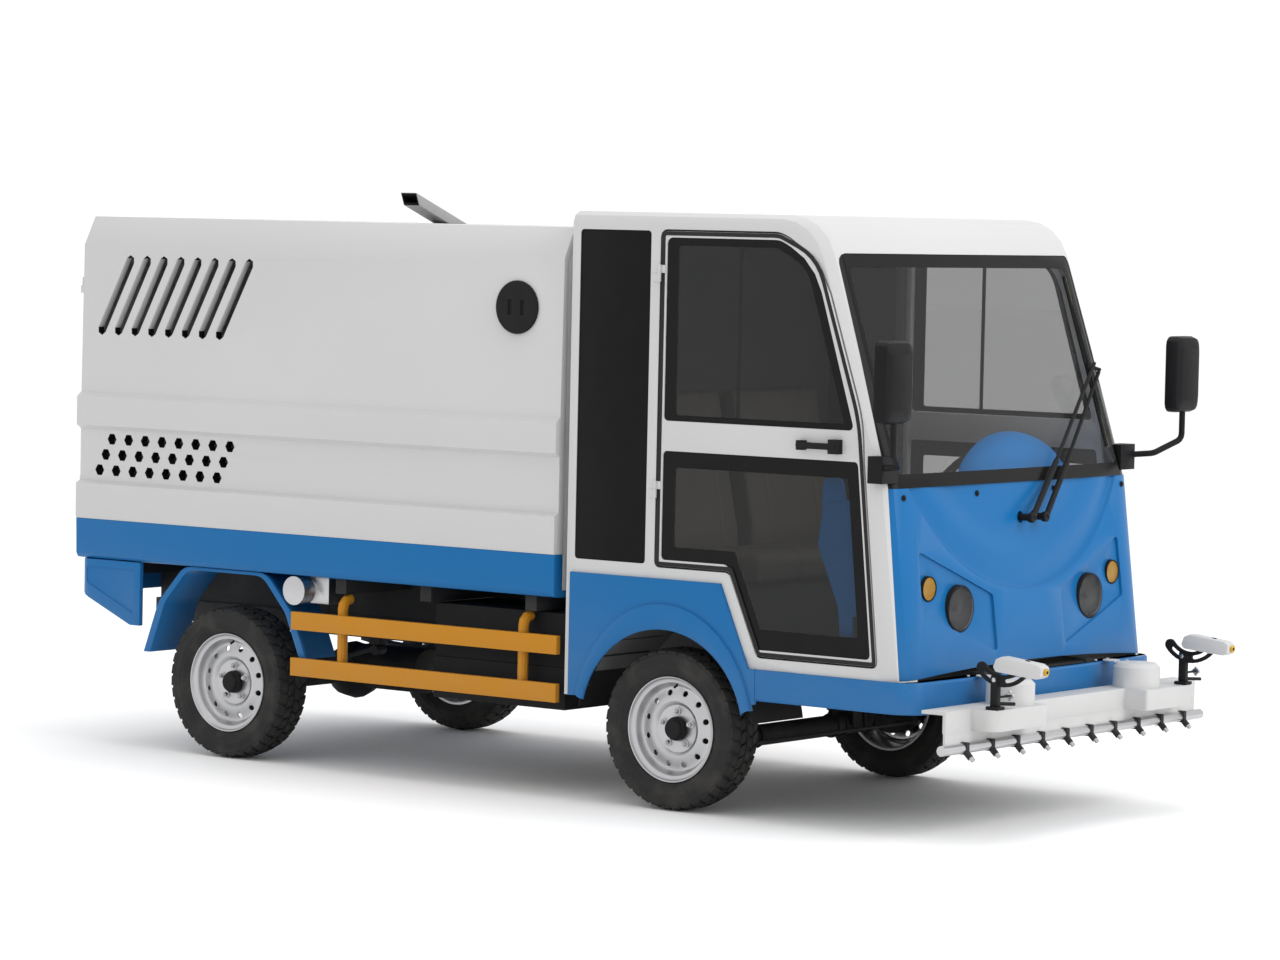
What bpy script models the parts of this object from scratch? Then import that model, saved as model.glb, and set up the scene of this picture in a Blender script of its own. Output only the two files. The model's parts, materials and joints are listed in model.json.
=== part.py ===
"""Small electric high-pressure cleaning truck.

The vehicle is modelled in metres with the front axle at y = 0, the front facing -Y, the ground at
z = 0 and the right-hand side at -X.  A parent empty then puts the middle of its length at the origin.
"""

import math

import bmesh
import bpy
from mathutils import Matrix, Vector

# Wheels and axles
WHEELBASE = 2.05
TRACK_HALF = 0.665
TYRE_RADIUS = 0.28
TYRE_WIDTH = 0.165
RIM_RADIUS = 0.183
RIM_WIDTH = 0.132
RIM_WALL = 0.007
HUB_RADIUS = 0.045
VENT_COUNT = 12
VENT_RADIUS = 0.009
VENT_CIRCLE = 0.118
STUB_RADIUS = 0.016
BEARING_GAP = 0.001
AXLE_RADIUS = 0.038
AXLE_DROP = 0.060
REAR_AXLE_RADIUS = 0.045
DIFFERENTIAL_RADIUS = 0.11
SPRING_X = 0.34
SPRING_REACH = 0.40
SPRING_WIDTH = 0.05
SPRING_LEAF = 0.011
SPRING_RISE = 0.07
EYE_RADIUS = 0.019

# Steering
KINGPIN_X = 0.575
KINGPIN_RADIUS = 0.012
KINGPIN_BOSS = 0.028
KINGPIN_BOSS_HEIGHT = 0.07
EAR_THICKNESS = 0.014
EAR_GAP = 0.004
STEERING_ARM = 0.13
TIE_ROD_RADIUS = 0.011
TIE_ROD_EYE = 0.018
TIE_PIN_RADIUS = 0.0075

# Frame
RAIL_X = 0.34
RAIL_WIDTH = 0.05
RAIL_BOTTOM = 0.45
RAIL_TOP = 0.53
CROSS_MEMBER = 0.06
SUB_RAIL_WIDTH = 0.04
BEARER_DEPTH = 0.055
BEARER_WIDTH = 0.05
TOUCH = 0.0003
SEAM = 0.0006
SEAT_GAP = 0.0004

# Cab body
CAB_HALF_WIDTH = 0.765
CAB_REAR = 0.437
CAB_HEIGHT = 2.048
CAB_BOTTOM = 0.37
CAB_SILL = 0.523
CAB_NOSE = 1.000
CAB_WALL = 0.030
CAB_CORNER = 0.070
CAB_ROOF_EDGE = 0.040
CAB_BOW = 0.016
CUT_REACH = 0.20
SCREEN_BASE_Z = 1.153
SCREEN_BASE_Y = -(CAB_NOSE - 0.080)
SCREEN_TOP_Z = CAB_HEIGHT - 0.124
SCREEN_TOP_Y = -(CAB_NOSE - 0.339)
ROOF_FRONT_RADIUS = 0.18
SCREEN_BASE_HALF = CAB_HALF_WIDTH - 0.023
SCREEN_TOP_HALF = CAB_HALF_WIDTH - 0.045
FLOOR_TOP = 0.560
ARCH_RADIUS = 0.370
ARCH_INNER_X = 0.425
FLARE_HALF = 0.384
FLARE_TOP = 0.435
ARCH_FLARE_DEPTH = 0.012
PANEL_OUTER_X = CAB_HALF_WIDTH + 0.013
RAIL_FRONT = -(CAB_NOSE + 0.015)

# Nose and bumper
NOSE_THICKNESS = 0.022
NOSE_RETURN = 0.047
PANEL_BOTTOM_HALF = CAB_HALF_WIDTH - 0.013
PANEL_BOTTOM_Z = 0.522
PANEL_ARCH_RISE = 0.030
SMILE_STEP = 0.003
SMILE_ARCS = ((0.795, 0.646), (0.899, 0.540), (0.983, 0.390))
POCKET_DEPTH = 0.010
POCKET_CORNERS = ((0.632, 0.945), (0.215, 0.782), (0.213, 0.590), (0.635, 0.735))
BUMPER_TOP = 0.519
BUMPER_BOTTOM = 0.412
BUMPER_NOSE = CAB_NOSE + 0.045
BUMPER_CORNER = 0.10
BUMPER_START = -0.385
BUMPER_EDGE = 0.006

# Doors
DOOR_GAP = 0.006
DOOR_REAR = 0.052
DOOR_TOP = CAB_HEIGHT - 0.063
DOOR_SHOULDER = DOOR_TOP - 0.070
DOOR_WAIST = SCREEN_BASE_Z + 0.225
DOOR_BOTTOM = 0.563
DOOR_STEP = 0.842
GLASS = 0.005
WINDOW_FRAME = 0.022
BAND_TOP = SCREEN_BASE_Z + 0.187
BAND_BOTTOM = SCREEN_BASE_Z + 0.083
HINGE_RADIUS = 0.007
HINGE_OFFSET = 0.008
HINGE_HALF = 0.029
HINGE_LEVELS = (DOOR_STEP + 0.232, DOOR_TOP - 0.173)
HANDLE_Z = (BAND_TOP + BAND_BOTTOM) / 2 - 0.004
HANDLE_FRONT = -(CAB_NOSE - 0.289)
HANDLE_REAR = HANDLE_FRONT + 0.167
HANDLE_STAND = 0.030
HANDLE_RADIUS = 0.011
QUARTER_FRONT = 0.0985
QUARTER_REAR = 0.402
QUARTER_BOTTOM = 0.846
QUARTER_THICKNESS = 0.014

# Lamps, wiper and mirrors
LAMP_X = 0.412
LAMP_Z = 0.744
LAMP_RADIUS = 0.080
LAMP_DEPTH = 0.05
LAMP_SINK = 0.008
AMBER_X = 0.582
AMBER_Z = 0.818
AMBER_RADIUS = 0.043
WIPER_HUB_RADIUS = 0.020
WIPER_BLADE_X = 0.635
MIRROR_CENTRE = (CAB_HALF_WIDTH + 0.154, -(CAB_NOSE + 0.018), SCREEN_BASE_Z + 0.359)
MIRROR_HEIGHT = 0.27
MIRROR_WIDTH = 0.16
MIRROR_DEPTH = 0.060
MIRROR_BASE = (CAB_HALF_WIDTH - 0.010, -(CAB_NOSE - 0.132), SCREEN_BASE_Z + 0.068)
MIRROR_ARM = 0.011

# Cab inside
SEAT_BASE = 0.78
SEAT_HALF = 0.58
SEAT_FRONT = -0.26
SEAT_BACK_Y = 0.205
SEAT_BACK_HEIGHT = 0.66
SEAT_BOX_HALF = 0.60
DASH_FRONT = -(CAB_NOSE - 0.125)
DASH_DEPTH = 0.275
DASH_TOP = SCREEN_BASE_Z - 0.033
DASH_HEIGHT = 0.40
HOOD_HALF = 0.20
HOOD_HEIGHT = 0.15
STEERING_X = 0.36
STEERING_HUB = (STEERING_X, -(CAB_NOSE - 0.54), SCREEN_BASE_Z - 0.053)
STEERING_RADIUS = 0.185
STEERING_RIM = 0.016
STEERING_TILT = 52.0
COLUMN_RADIUS = 0.024
COLUMN_LENGTH = 0.21

# Load body
BOX_FRONT = 0.486
BOX_REAR = WHEELBASE + 0.740
BOX_FLOOR = 0.700
BOX_SKIRT_TOP = BOX_FLOOR + 0.152
BOX_TOP = 1.990
BOX_WALL_HEIGHT = BOX_TOP - BOX_SKIRT_TOP
BOX_RIDGE_X = CAB_HALF_WIDTH + 0.013
BOX_GROOVE_X = BOX_RIDGE_X - 0.023
BOX_SHOULDER_X = BOX_RIDGE_X - 0.030
BOX_INNER_HALF = BOX_RIDGE_X - 0.056
BOX_ROOF_HALF = BOX_RIDGE_X - 0.0855
BOX_WALL = 0.025
BOX_FOLD = 0.030
LOW_RIDGE_TOP = BOX_SKIRT_TOP + 0.117 * BOX_WALL_HEIGHT
GROOVE_BOTTOM = BOX_SKIRT_TOP + 0.1265 * BOX_WALL_HEIGHT
GROOVE_TOP = BOX_SKIRT_TOP + 0.297 * BOX_WALL_HEIGHT
HIGH_RIDGE_BOTTOM = BOX_SKIRT_TOP + 0.310 * BOX_WALL_HEIGHT
HIGH_RIDGE_TOP = BOX_SKIRT_TOP + 0.404 * BOX_WALL_HEIGHT
UPPER_WALL_BOTTOM = BOX_SKIRT_TOP + 0.420 * BOX_WALL_HEIGHT
SHOULDER_Z = BOX_SKIRT_TOP + 0.906 * BOX_WALL_HEIGHT
INNER_SHOULDER_Z = SHOULDER_Z - 0.013
SLOT_COUNT = 8
SLOT_PITCH = 0.0853
SLOT_WIDTH = 0.041
SLOT_TOP_Z = BOX_SKIRT_TOP + 0.875 * BOX_WALL_HEIGHT
SLOT_BOTTOM_Z = BOX_SKIRT_TOP + 0.609 * BOX_WALL_HEIGHT
SLOT_FIRST_TOP_Y = BOX_REAR - 0.239
SLOT_LEAN = 0.139
HOLE_COLUMNS = 8
HOLE_RADIUS = 0.023
HOLE_TOP_Z = BOX_SKIRT_TOP + 0.266 * BOX_WALL_HEIGHT
HOLE_ROW_STEP = 0.0518 * BOX_WALL_HEIGHT
HOLE_FIRST_Y = BOX_REAR - 0.163
HOLE_ROW_SHIFT = 0.031
CAP_Y = BOX_FRONT + 0.201
CAP_Z = BOX_SKIRT_TOP + 0.7513 * BOX_WALL_HEIGHT
CAP_RADIUS = 0.094
CAP_DEPTH = 0.012
CHUTE_HALF = 0.030
CHUTE_LENGTH = 0.165
CHUTE_FOOT = 0.085
CHUTE_MOUTH = 0.065
CHUTE_HEIGHT = 0.115
CHUTE_REAR = BOX_REAR - 0.900
CHUTE_SHEET = 0.010
TANK_HALF = 0.60
TANK_FRONT = BOX_FRONT + 0.08
TANK_REAR = WHEELBASE - 0.40
TANK_TOP = BOX_SKIRT_TOP + 0.5255 * BOX_WALL_HEIGHT

# Rear doors
REAR_DOOR_GAP = 0.006
REAR_DOOR_THICKNESS = 0.030
REAR_DOOR_MARGIN = 0.07
REAR_DOOR_RECESS = 0.006
REAR_HINGE_RADIUS = 0.010
REAR_HINGE_OFFSET = 0.011
REAR_HINGE_HALF = 0.030
REAR_HINGE_LEVELS = (BOX_FLOOR + 0.25, INNER_SHOULDER_Z - 0.17)
TAIL_REACH = BOX_REAR + REAR_HINGE_OFFSET + REAR_HINGE_RADIUS

# Tail apron
APRON_REAR = WHEELBASE + 0.725
APRON_FRONT = WHEELBASE + 0.410
APRON_HALF = BOX_RIDGE_X - 0.008
APRON_WALL = 0.020
APRON_CORNER = 0.05
APRON_BOTTOM = 0.463
TAIL_LAMP = ((0.580, 0.600), (0.700, 0.655))
TAIL_LAMP_DEPTH = 0.016
RAIL_REAR = APRON_REAR - APRON_WALL - TOUCH

# Lower body
BATTERY_HALF = 0.68
BATTERY_FRONT = BOX_FRONT + 0.014
BATTERY_REAR = WHEELBASE - 0.95
BATTERY_BOTTOM = 0.30
BATTERY_TOP = 0.640
GUARD_BAR = 0.065
GUARD_X = BOX_RIDGE_X - 0.026
GUARD_THICKNESS = 0.022
GUARD_POST_RADIUS = 0.019
GUARD_FRONT = 0.469
GUARD_REAR = WHEELBASE - 0.350
GUARD_UPPER_Z = 0.5375
GUARD_LOWER_Z = 0.3695
GUARD_POSTS = (GUARD_FRONT + 0.177, GUARD_REAR - 0.217)
MUDGUARD_THICKNESS = 0.012
MUDGUARD_LIP = 0.032
MUDGUARD_INNER_X = 0.56
MUDGUARD_OUTER_X = GUARD_X - 0.002
VALVE_X = -0.66
VALVE_Y = WHEELBASE - 0.353
VALVE_Z = BOX_FLOOR - 0.054
VALVE_CAP_RADIUS = 0.053

# Spray gear
NOSE_REACH = CAB_NOSE + 0.435
SPRAY_PLATE_Y = -(CAB_NOSE + 0.170)
SPRAY_PLATE_HALF = 0.800
SPRAY_TOP = 0.441
SPRAY_PLATE_BOTTOM = 0.370
SPRAY_FLANGE_BOTTOM = 0.330
SPRAY_SHEET = 0.012
SPRAY_SHELF = 0.095
SPRAY_BOX_INNER = 0.321
SPRAY_BOX_OUTER = 0.647
SPRAY_BOX_DEPTH = 0.092
SPRAY_MOTOR_X = 0.405
SPRAY_MOTOR_RADIUS = 0.082
SPRAY_MOTOR_TOP = 0.525
SPRAY_PIPE_HALF = 0.83
SPRAY_PIPE_Z = 0.316
SPRAY_HEAD_X = 0.605
SPRAY_PIPE_RADIUS = 0.0175
ARC_RADIUS = 0.103
ARC_WIDTH = 0.042
ARC_SLOT = 0.014
ARC_CENTRE_Z = 0.64
ARC_SPAN = (205, 330)
ARC_THICKNESS = 0.010
GUN_LENGTH = 0.19
GUN_SIZE = 0.029
GUN_Z = 0.578
GUN_PITCH = 5.0
GUN_TIP_RADIUS = 0.013
NOZZLE_COUNT = 10
NOZZLE_PITCH = 0.155

REAR_AXLE_Y = WHEELBASE
AXLE_Z = TYRE_RADIUS


# Shape helpers

def clear_scene():
    for thing in list(bpy.data.objects):
        bpy.data.objects.remove(thing, do_unlink=True)


def make_material(name, colour, roughness, metallic=0.0, alpha=1.0):
    mat = bpy.data.materials.new(name)
    mat.use_nodes = True
    shader = mat.node_tree.nodes["Principled BSDF"]
    shader.inputs["Base Color"].default_value = (*colour, 1.0)
    shader.inputs["Roughness"].default_value = roughness
    shader.inputs["Metallic"].default_value = metallic
    shader.inputs["Alpha"].default_value = alpha
    return mat


def finish(name, bm, mat=None, pivot=(0.0, 0.0, 0.0), smooth=False):
    """Turn a bmesh built in vehicle coordinates into an object whose origin is at pivot."""
    bmesh.ops.recalc_face_normals(bm, faces=bm.faces)
    bmesh.ops.translate(bm, verts=bm.verts, vec=-Vector(pivot))
    mesh = bpy.data.meshes.new(name)
    bm.to_mesh(mesh)
    bm.free()
    if mat:
        mesh.materials.append(mat)
    if smooth:
        mesh.shade_smooth()
        mesh.set_sharp_from_angle(angle=math.radians(35))
    obj = bpy.data.objects.new(name, mesh)
    bpy.context.scene.collection.objects.link(obj)
    obj.location = pivot
    obj.parent = bpy.data.objects["vehicle_origin"]
    return obj


def place(axis, p, q, s):
    """World point for outline coordinates p, q and distance s along the extrusion axis."""
    return {"X": (s, p, q), "Y": (p, s, q), "Z": (p, q, s)}[axis]


def extrude(bm, outline, axis, start, end):
    low = [bm.verts.new(place(axis, p, q, start)) for p, q in outline]
    high = [bm.verts.new(place(axis, p, q, end)) for p, q in outline]
    bm.faces.new(low)
    bm.faces.new(high[::-1])
    for i in range(len(low)):
        j = (i + 1) % len(low)
        bm.faces.new((low[j], low[i], high[i], high[j]))


def prism(name, outline, axis, start, end, mat=None, **options):
    bm = bmesh.new()
    extrude(bm, outline, axis, start, end)
    return finish(name, bm, mat, **options)


def block(name, low, high, mat=None, **options):
    outline = [(low[0], low[1]), (high[0], low[1]), (high[0], high[1]), (low[0], high[1])]
    return prism(name, outline, "Z", low[2], high[2], mat, **options)


def loft(name, sections, mat=None, **options):
    """Closed solid through sections that all have the same number of points."""
    bm = bmesh.new()
    rings = [[bm.verts.new(point) for point in section] for section in sections]
    bm.faces.new(rings[0])
    bm.faces.new(rings[-1][::-1])
    for ring, after in zip(rings, rings[1:]):
        for i in range(len(ring)):
            j = (i + 1) % len(ring)
            bm.faces.new((ring[j], ring[i], after[i], after[j]))
    return finish(name, bm, mat, **options)


def revolve(bm, profile, centre, axis, steps, closed=False):
    """Turn (distance along axis, radius) points about an axis through centre."""
    rings = []
    for along, radius in profile:
        if radius < 1e-9:
            rings.append([bm.verts.new(Vector(centre) + Vector(place(axis, 0, 0, along)))])
            continue
        ring = []
        for k in range(steps):
            turn = 2 * math.pi * k / steps
            point = place(axis, radius * math.cos(turn), radius * math.sin(turn), along)
            ring.append(bm.verts.new(Vector(centre) + Vector(point)))
        rings.append(ring)
    pairs = list(zip(rings, rings[1:]))
    if closed:
        pairs.append((rings[-1], rings[0]))
    for first, second in pairs:
        for k in range(steps):
            n = (k + 1) % steps
            corners = [first[k % len(first)], first[n % len(first)]]
            corners += [second[n % len(second)], second[k % len(second)]]
            bm.faces.new(list(dict.fromkeys(corners)))


def turned(name, profile, centre, axis, steps=24, mat=None, closed=False, **options):
    bm = bmesh.new()
    revolve(bm, profile, centre, axis, steps, closed)
    return finish(name, bm, mat, smooth=True, **options)


def cylinder(name, centre, axis, radius, start, end, steps=16, mat=None, **options):
    """Plain round bar from start to end, measured along the axis from centre."""
    profile = [(start, 0.0), (start, radius), (end, radius), (end, 0.0)]
    return turned(name, profile, centre, axis, steps, mat, **options)


def round_corners(points, steps=4):
    """Outline with each (p, q, radius) corner replaced by an arc."""
    outline = []
    for i, (p, q, radius) in enumerate(points):
        here = Vector((p, q))
        if radius <= 0:
            outline.append((p, q))
            continue
        before = (Vector(points[i - 1][:2]) - here).normalized()
        after = (Vector(points[(i + 1) % len(points)][:2]) - here).normalized()
        half = before.angle(after) / 2
        setback = radius / math.tan(half)
        centre = here + (before + after).normalized() * radius / math.sin(half)
        first = here + before * setback - centre
        last = here + after * setback - centre
        sweep = first.angle(last)
        turn = math.copysign(sweep, first.x * last.y - first.y * last.x)
        for k in range(steps + 1):
            arm = Matrix.Rotation(turn * k / steps, 2) @ first
            outline.append(tuple(centre + arm))
    return outline


def grown(points, distance):
    """Corner list with every edge moved outwards by distance and its radii following."""
    area = sum(points[i - 1][0] * points[i][1] - points[i][0] * points[i - 1][1] for i in range(len(points)))
    sign = 1 if area > 0 else -1
    moved = []
    for i, (p, q, radius) in enumerate(points):
        here = Vector((p, q))
        before = (here - Vector(points[i - 1][:2])).normalized()
        after = (Vector(points[(i + 1) % len(points)][:2]) - here).normalized()
        normals = [Vector((edge.y, -edge.x)) * sign for edge in (before, after)]
        shift = (normals[0] + normals[1]) / (1 + normals[0].dot(normals[1])) * distance
        convex = (before.x * after.y - before.y * after.x) * sign > 0
        follow = distance if convex else -distance
        moved.append((p + shift.x, q + shift.y, max(radius + follow, 0.0) if radius > 0 else 0.0))
    return moved


def arc(centre, radius, first, last, steps):
    """Points on a circle between two angles in degrees."""
    points = []
    for k in range(steps + 1):
        turn = math.radians(first + (last - first) * k / steps)
        points.append((centre[0] + radius * math.cos(turn), centre[1] + radius * math.sin(turn)))
    return points


def tube(bm, path, radius, sides=10):
    """Round bar along a list of points, with flat ends."""
    path = [Vector(point) for point in path]
    rings = []
    across = None
    for i, point in enumerate(path):
        before = path[i] - path[i - 1] if i else path[1] - path[0]
        after = path[i + 1] - path[i] if i + 1 < len(path) else before
        along = (before.normalized() + after.normalized()).normalized()
        if across is None:
            across = along.orthogonal().normalized()
        across = (across - along * across.dot(along)).normalized()
        other = along.cross(across)
        widen = 1 / max(along.dot(after.normalized()), 0.5)
        ring = []
        for k in range(sides):
            turn = 2 * math.pi * k / sides
            offset = across * math.cos(turn) + other * math.sin(turn)
            ring.append(bm.verts.new(point + offset * radius * (1 + (widen - 1) * 0.5)))
        rings.append(ring)
    bm.faces.new(rings[0][::-1])
    bm.faces.new(rings[-1])
    for ring, after in zip(rings, rings[1:]):
        for k in range(sides):
            n = (k + 1) % sides
            bm.faces.new((ring[k], ring[n], after[n], after[k]))


def bent_path(points, steps=3):
    """Path through (x, y, z, bend radius) points, with an arc at each bend."""
    path = []
    for i, point in enumerate(points):
        here = Vector(point[:3])
        radius = point[3] if len(point) > 3 else 0.0
        if radius <= 0 or i in (0, len(points) - 1):
            path.append(here)
            continue
        before = (Vector(points[i - 1][:3]) - here).normalized()
        after = (Vector(points[i + 1][:3]) - here).normalized()
        half = before.angle(after) / 2
        centre = here + (before + after).normalized() * radius / math.sin(half)
        first = here + before * radius / math.tan(half) - centre
        last = here + after * radius / math.tan(half) - centre
        for k in range(steps + 1):
            path.append(centre + first.normalized().slerp(last.normalized(), k / steps) * radius)
    return path


def bar(name, points, radius, mat=None, sides=10, **options):
    bm = bmesh.new()
    tube(bm, bent_path(points), radius, sides)
    return finish(name, bm, mat, smooth=True, **options)


def combine(target, other, operation):
    """Boolean that uses other as a hidden guide."""
    modifier = target.modifiers.new(f"{operation.lower()} {other.name}", "BOOLEAN")
    modifier.operation = operation
    modifier.solver = "EXACT"
    modifier.object = other
    other.hide_render = True
    other.display_type = "WIRE"


def cut(target, *others):
    for other in others:
        combine(target, other, "DIFFERENCE")


def join(target, *others):
    for other in others:
        combine(target, other, "UNION")


def keep(target, other):
    combine(target, other, "INTERSECT")


def mirrored(outline, side):
    """Outline in x for the left (+1) or right (-1) side of the vehicle."""
    return [(side * x, q) for x, q in outline]


def side_name(side):
    return "left" if side > 0 else "right"


# Cab volume

def edge_drop(distance, radius):
    """How far a rounded edge has fallen back at a distance in from the edge."""
    if distance >= radius:
        return 0.0
    reach = radius - distance
    return radius - math.sqrt(max(radius * radius - reach * reach, 0.0))


def front_line(z):
    """Centre-line y of the cab's front face at a height."""
    if z <= SCREEN_BASE_Z:
        share = (z - CAB_SILL) / (SCREEN_BASE_Z - CAB_SILL)
        return -CAB_NOSE + share * (SCREEN_BASE_Y + CAB_NOSE)
    share = (z - SCREEN_BASE_Z) / (SCREEN_TOP_Z - SCREEN_BASE_Z)
    return SCREEN_BASE_Y + share * (SCREEN_TOP_Y - SCREEN_BASE_Y)


def front_setback(x):
    """How far the front face lies behind its centre line at a width."""
    bow = CAB_BOW * (x / CAB_HALF_WIDTH) ** 2
    return bow + edge_drop(CAB_HALF_WIDTH - abs(x), CAB_CORNER)


def cab_stations(half, corner):
    """Widths at which the cab is sectioned: close together in the rounded corners."""
    corner_half = [half - corner + corner * math.sin(math.radians(a)) for a in (0, 30, 60, 90)]
    middle = [half * share for share in (0.0, 0.3, 0.6)]
    right = sorted(middle + corner_half)
    return [-x for x in reversed(right[1:])] + right


def cab_volume(name, inset, bottom):
    """Solid cab outline, moved in by inset on every side but the bottom."""
    half = CAB_HALF_WIDTH - inset
    corner = max(CAB_CORNER - inset, 0.012)
    roof_edge = max(CAB_ROOF_EDGE - inset, 0.008)
    lean = math.atan2(SCREEN_TOP_Y - SCREEN_BASE_Y, SCREEN_TOP_Z - SCREEN_BASE_Z)
    roof_radius = ROOF_FRONT_RADIUS - inset
    top = CAB_HEIGHT - inset
    arc_centre_z = top - roof_radius
    arc_centre_y = front_line(SCREEN_TOP_Z) + inset + ROOF_FRONT_RADIUS * math.cos(lean) - inset
    sections = []
    for x in cab_stations(half, corner):
        back = CAB_BOW * (x / CAB_HALF_WIDTH) ** 2 + edge_drop(half - abs(x), corner)
        drop = edge_drop(half - abs(x), roof_edge)
        levels = (bottom, CAB_SILL, SCREEN_BASE_Z)
        outline = [(CAB_REAR - inset, bottom)]
        outline += [(front_line(z) + inset + back, z) for z in levels]
        for k in range(5):
            turn = math.radians(180) - lean - (math.radians(90) - lean) * k / 4
            y = arc_centre_y + roof_radius * math.cos(turn) + back
            outline.append((y, arc_centre_z + roof_radius * math.sin(turn) - drop))
        outline.append((CAB_REAR - inset, top - drop))
        sections.append([(x, y, z) for y, z in outline])
    return loft(name, sections)


def cab_skin(name, outer_inset, inner_inset, mat=None):
    """Hollow cab skin between two insets, open at the bottom."""
    skin = cab_volume(name, outer_inset, CAB_BOTTOM)
    if mat:
        skin.data.materials.append(mat)
    cut(skin, cab_volume(f"{name}_hollow", inner_inset, CAB_BOTTOM - 0.1))
    return skin


def screen_outline():
    """Windscreen corners in x, z and radius."""
    return [
        (-SCREEN_BASE_HALF, SCREEN_BASE_Z + SEAM, 0.0), (SCREEN_BASE_HALF, SCREEN_BASE_Z + SEAM, 0.0),
        (SCREEN_TOP_HALF, SCREEN_TOP_Z, 0.035), (-SCREEN_TOP_HALF, SCREEN_TOP_Z, 0.035),
    ]


def front_panel_outline():
    """Nose panel corners in x, z and radius, with the arched lower edge."""
    points = [(SCREEN_BASE_HALF, SCREEN_BASE_Z, 0.0), (-SCREEN_BASE_HALF, SCREEN_BASE_Z, 0.0)]
    for k in range(9):
        x = -PANEL_BOTTOM_HALF + 2 * PANEL_BOTTOM_HALF * k / 8
        points.append((x, PANEL_BOTTOM_Z + PANEL_ARCH_RISE * (1 - (x / PANEL_BOTTOM_HALF) ** 2), 0.0))
    return points


def door_edge(z, margin):
    """Corner (y, z) at a distance behind the sloping front face."""
    return front_line(z) + margin, z


def door_outline():
    """Door corners in y, z and radius."""
    return [
        (DOOR_REAR, DOOR_TOP, 0.02), (SCREEN_TOP_Y + 0.221, DOOR_TOP, 0.10),
        (*door_edge(DOOR_SHOULDER, 0.064), 0.30), (*door_edge(DOOR_WAIST, 0.061), 0.60),
        (*door_edge(DOOR_BOTTOM, 0.127), 0.015), (-0.385, DOOR_BOTTOM, 0.02), (-0.262, DOOR_STEP, 0.03),
        (DOOR_REAR, DOOR_STEP, 0.015),
    ]


def upper_window_outline():
    rear, top = DOOR_REAR - WINDOW_FRAME, DOOR_TOP - WINDOW_FRAME
    return [
        (rear, top, 0.02), (SCREEN_TOP_Y + 0.221, top, 0.08),
        (*door_edge(DOOR_SHOULDER - 0.020, 0.089), 0.25),
        (*door_edge(BAND_TOP, 0.100), 0.015), (rear, BAND_TOP, 0.015),
    ]


def lower_window_outline():
    rear, low, step = DOOR_REAR - WINDOW_FRAME, DOOR_BOTTOM + WINDOW_FRAME, DOOR_STEP + WINDOW_FRAME
    return [
        (rear, BAND_BOTTOM, 0.015), (*door_edge(BAND_BOTTOM, 0.117), 0.015),
        (*door_edge(low, 0.150), 0.015),
        (-0.372, low, 0.02), (-0.248, step, 0.02), (rear, step, 0.015),
    ]


def quarter_outline():
    return [
        (QUARTER_FRONT, QUARTER_BOTTOM, 0.012), (QUARTER_REAR, QUARTER_BOTTOM, 0.012),
        (QUARTER_REAR, DOOR_TOP, 0.012), (QUARTER_FRONT, DOOR_TOP, 0.012),
    ]


def opening(outline, clearance, steps=3):
    """Hole for a piece with this outline, larger all round by the clearance."""
    return round_corners(grown(outline, clearance), steps)


# Cab pieces

def build_cab_shell(mats):
    shell = cab_skin("cab_shell", 0.0, CAB_WALL, mats["white"])
    front_y = -CAB_NOSE - CUT_REACH
    screen = [(x, z - (0.02 if z < SCREEN_TOP_Z - 0.1 else 0.0), r) for x, z, r in screen_outline()]
    cut(shell,
        prism("screen_opening", opening(screen, SEAM), "Y", front_y, SCREEN_TOP_Y + 0.46),
        prism("nose_opening", opening(front_panel_outline(), SEAM), "Y", front_y, SCREEN_BASE_Y + 0.22))
    for side in (-1, 1):
        label = side_name(side)
        inner, outer = side * (CAB_HALF_WIDTH - 0.06), side * (CAB_HALF_WIDTH + 0.06)
        cut(shell,
            prism(f"door_opening_{label}", opening(door_outline(), DOOR_GAP), "X", inner, outer),
            prism(f"quarter_opening_{label}", opening(quarter_outline(), SEAM), "X", inner, outer),
            cylinder(f"shell_arch_{label}", (0, 0, AXLE_Z), "X", ARCH_RADIUS + 0.004, inner, outer, 28))
    frame_half = CAB_HALF_WIDTH - CAB_CORNER
    cut(shell,
        block("nose_undercut", (-1, front_y - 0.1, 0.2), (1, -0.30, 0.445)),
        block("frame_undercut_front", (-frame_half, front_y, 0.2),
              (frame_half, -CAB_NOSE + 0.2, PANEL_BOTTOM_Z + PANEL_ARCH_RISE + 0.004)),
        block("frame_undercut_rear", (-frame_half, 0.3, 0.2), (frame_half, 0.6, RAIL_TOP + TOUCH)))
    for side in (-1, 1):
        for low in HINGE_LEVELS:
            join(shell, hinge_half(f"pillar_hinge_{side_name(side)}_{low}", side, low, False))


def hinge_line(side):
    """Plan position of a door's hinge line."""
    return side * (CAB_HALF_WIDTH + HINGE_OFFSET), DOOR_REAR + DOOR_GAP / 2


def hinge_half(name, side, low, on_door):
    """One barrel of a door hinge with the strap that holds it to its side of the gap."""
    x, y = hinge_line(side)
    start = low + (HINGE_HALF + TOUCH if on_door else 0.0)
    end = start + HINGE_HALF
    barrel = cylinder(name, (x, y, 0), "Z", HINGE_RADIUS, start, end, 8)
    reach = -0.020 if on_door else 0.030
    strap_low = (min(side * (CAB_HALF_WIDTH - 0.004), side * (CAB_HALF_WIDTH + 0.004)), min(y, y + reach))
    strap_high = (max(side * (CAB_HALF_WIDTH - 0.004), side * (CAB_HALF_WIDTH + 0.004)), max(y, y + reach))
    strap = block(f"{name}_strap", (*strap_low, start + 0.001), (*strap_high, end - 0.001))
    join(barrel, strap)
    return barrel


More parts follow.
